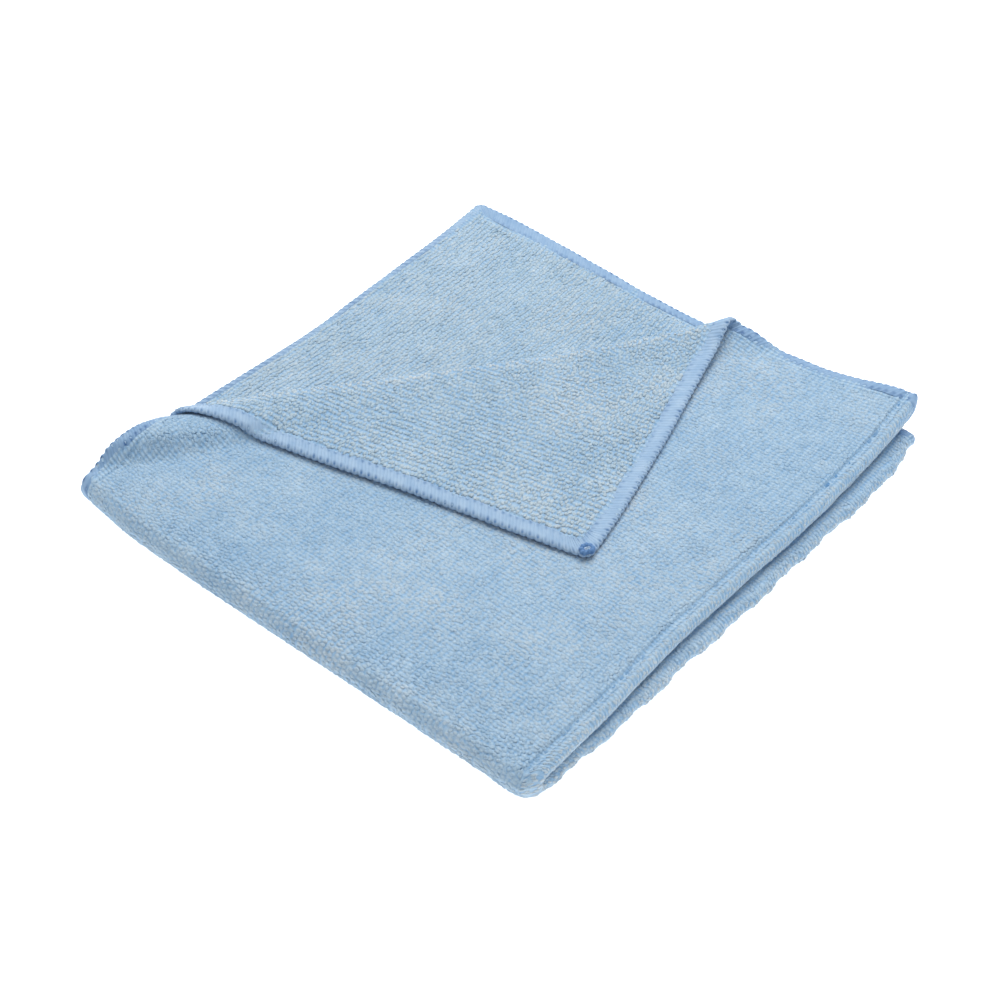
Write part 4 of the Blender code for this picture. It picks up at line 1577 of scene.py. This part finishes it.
class CLOTH_PG_pile(bpy.types.PropertyGroup):
    row: number("Row pitch", "Distance between rows of tufts, in millimetres", 2.12, min=0.3)
    step: number("Step", "Distance between tufts in a row, in millimetres", 1.47, min=0.3)
    nap_height: number("Nap height", "Height of the outer tufts, root to tip, in millimetres", 0.25, min=0.1)
    loop_height: number("Loop height", "Height of the inner loops, root to tip, in millimetres", 0.4, min=0.1)
    sink: number("Ground depth", "Depth of the ground under the cloth's face, in millimetres", 0.15, min=0.0)
    uneven: number("Unevenness", "Spread of the tufts' heights, as a share", 0.12, min=0.0)
    lean: number("Lean", "How far the tufts' tips lean over, in millimetres", 0.2, min=0.0)


class CLOTH_PG_hem(bpy.types.PropertyGroup):
    stitch: number("Stitch length", "Distance between overlock stitches, in millimetres", 2.75, min=0.5)
    bead: number("Bead", "How far each stitch bulges past the rim, in millimetres", 0.6, min=0.0)


class CLOTH_PG_colours(bpy.types.PropertyGroup):
    # The root colours are darker to paint the shade at the foot of the pile and in the ground's hollows
    nap_tip: colour("Nap tip", "Colour of the outer nap's tips", (0.445, 0.61, 0.76))
    nap_root: colour("Nap root", "Colour of the outer nap's roots", (0.28, 0.48, 0.72))
    loop_tip: colour("Loop tip", "Colour of the inner loops' tips", (0.525, 0.66, 0.755))
    loop_root: colour("Loop root", "Colour of the inner loops' roots", (0.31, 0.48, 0.65))
    # Also the colour of the painted sheen on the rubbed right folds and of the painted highlight on the
    # roll's crest
    warm: colour("Rubbed pile", "Colour of the pile where it is rubbed pale", (0.60, 0.68, 0.73))
    thread: colour("Thread", "Colour of the hem's thread", (0.33, 0.49, 0.69))
    # This colour paints the shade in the stitch pits, in the knot's grooves and under the turned-back
    # corner's hem
    pit: colour("Pit", "Colour of the pits at the stitches", (0.06, 0.16, 0.37))
    knot: colour("Knot", "Colour of the knot at the corner", (0.16, 0.32, 0.60))


class CLOTH_PG_stage(bpy.types.PropertyGroup):
    sky: number("Sky", "Strength of the white surroundings", 0.5, min=0.0)
    lamp: number("Lamp", "Power of the large soft lamp, in watts", 13.5, min=0.0)
    glow: number("Floor glow", "Light that the floor gives off, to keep shadows on it pale", 0.8, min=0.0)


class CLOTH_OT_sheet(bpy.types.Operator):
    """Build the folded sheet"""

    bl_idname = "cloth.sheet"
    bl_label = "Folded sheet"

    def execute(self, context):
        sheet = make_sheet(context.scene.cloth_pile, material_for("ground"))
        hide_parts(NODE)
        return {"FINISHED"}


class CLOTH_OT_outer_pile(bpy.types.Operator):
    """Plant the nap of the outer face"""

    bl_idname = "cloth.outer_pile"
    bl_label = "Outer nap"

    def execute(self, context):
        make_outer_pile(context.scene.cloth_pile, material_for("nap"))
        return {"FINISHED"}


class CLOTH_OT_inner_pile(bpy.types.Operator):
    """Plant the loops of the inner face"""

    bl_idname = "cloth.inner_pile"
    bl_label = "Inner loops"

    def execute(self, context):
        make_inner_pile(context.scene.cloth_pile, material_for("loops"))
        return {"FINISHED"}


class CLOTH_OT_hem(bpy.types.Operator):
    """Sew the overlocked hem"""

    bl_idname = "cloth.hem"
    bl_label = "Overlocked hem"

    def execute(self, context):
        make_hem(context.scene.cloth_hem, material_for("hem"))
        return {"FINISHED"}


class CLOTH_OT_knot(bpy.types.Operator):
    """Wind the knot at the turned-back corner"""

    bl_idname = "cloth.knot"
    bl_label = "Corner knot"

    def execute(self, context):
        make_corner_knot(material_for("knot"))
        return {"FINISHED"}


# The stage: a white floor just under the hem's lowest threads, a soft lamp and the camera
FLOOR_SIZE = 60.0
FLOOR_Z = -0.45 * MM
FLOOR_COLOUR = (0.9, 0.9, 0.9, 1.0)
WHITE = (1.0, 1.0, 1.0, 1.0)
LAMP_PLACE = (-0.25, 0.6, 1.1)
LAMP_SIZE = 1.1
CAMERA_TARGET = Vector((6.33 * MM, -13.46 * MM, 0.0))
CAMERA_DISTANCE = 690.0 * MM
CAMERA_AZIMUTH = math.radians(39.9)
CAMERA_ELEVATION = math.radians(44.45)
CAMERA_LENS = 71.46
SENSOR_WIDTH = 36.0


def floor_material(glow):
    material, _, shader = new_material("white_paper", roughness=0.9, sheen=0.0)
    shader.inputs["Base Color"].default_value = FLOOR_COLOUR
    shader.inputs["Emission Color"].default_value = WHITE
    shader.inputs["Emission Strength"].default_value = glow
    return material


def add_floor(glow):
    bpy.ops.object.select_all(action="DESELECT")
    bpy.ops.mesh.primitive_plane_add(size=FLOOR_SIZE, location=(0, 0, FLOOR_Z))
    floor = bpy.context.active_object
    floor.name = "floor"
    floor.data.materials.append(floor_material(glow))


def add_lights(scene, sky, power):
    world = bpy.data.worlds.new("white_room")
    world.use_nodes = True
    background = world.node_tree.nodes["Background"]
    background.inputs["Color"].default_value = WHITE
    background.inputs["Strength"].default_value = sky
    scene.world = world
    bpy.ops.object.light_add(type="AREA", location=LAMP_PLACE)
    lamp = bpy.context.active_object
    lamp.name = "soft_lamp"
    lamp.data.shape = "DISK"
    lamp.data.size = LAMP_SIZE
    lamp.data.energy = power
    lamp.rotation_euler = (-lamp.location).to_track_quat("-Z", "Y").to_euler()


def add_camera(scene):
    level = math.cos(CAMERA_ELEVATION)
    back_x = math.sin(CAMERA_AZIMUTH) * level
    back_y = -math.cos(CAMERA_AZIMUTH) * level
    back = Vector((back_x, back_y, math.sin(CAMERA_ELEVATION)))
    data = bpy.data.cameras.new("camera")
    data.lens = CAMERA_LENS
    data.sensor_width = SENSOR_WIDTH
    camera = bpy.data.objects.new("camera", data)
    scene.collection.objects.link(camera)
    camera.location = CAMERA_TARGET + CAMERA_DISTANCE * back
    camera.rotation_euler = back.to_track_quat("Z", "Y").to_euler()
    scene.camera = camera


class CLOTH_OT_stage(bpy.types.Operator):
    """Lay the floor, and set the lights and the camera"""

    bl_idname = "cloth.stage"
    bl_label = "Stage"

    def execute(self, context):
        stage = context.scene.cloth_stage
        add_floor(stage.glow)
        add_lights(context.scene, stage.sky, stage.lamp)
        add_camera(context.scene)
        context.scene.view_settings.view_transform = "Standard"
        return {"FINISHED"}


class CLOTH_PT_panel(bpy.types.Panel):
    """Lists the steps that build the cloth, and its sizes and colours"""

    bl_idname = "CLOTH_PT_panel"
    bl_label = "Folded cloth"
    bl_space_type = "VIEW_3D"
    bl_region_type = "UI"
    bl_category = "Cloth"

    def draw(self, context):
        for operator in OPERATORS:
            self.layout.operator(operator.bl_idname)
        for name, group in GROUPS.items():
            for entry in group.__annotations__:
                self.layout.prop(getattr(context.scene, name), entry)


GROUPS = {
    "cloth_pile": CLOTH_PG_pile,
    "cloth_hem": CLOTH_PG_hem,
    "cloth_colours": CLOTH_PG_colours,
    "cloth_stage": CLOTH_PG_stage,
}
OPERATORS = (
    CLOTH_OT_sheet,
    CLOTH_OT_outer_pile,
    CLOTH_OT_inner_pile,
    CLOTH_OT_hem,
    CLOTH_OT_knot,
    CLOTH_OT_stage,
)


def register():
    for group in (*GROUPS.values(), *OPERATORS, CLOTH_PT_panel):
        bpy.utils.register_class(group)
    for name, group in GROUPS.items():
        setattr(bpy.types.Scene, name, bpy.props.PointerProperty(type=group))


def unregister():
    for name in GROUPS:
        delattr(bpy.types.Scene, name)
    for group in reversed((*GROUPS.values(), *OPERATORS, CLOTH_PT_panel)):
        bpy.utils.unregister_class(group)


def main():
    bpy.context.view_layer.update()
    register()
    bpy.ops.cloth.sheet()
    bpy.ops.cloth.outer_pile()
    bpy.ops.cloth.inner_pile()
    bpy.ops.cloth.hem()
    bpy.ops.cloth.knot()
    bpy.ops.cloth.stage()


if __name__ == "__main__":
    main()
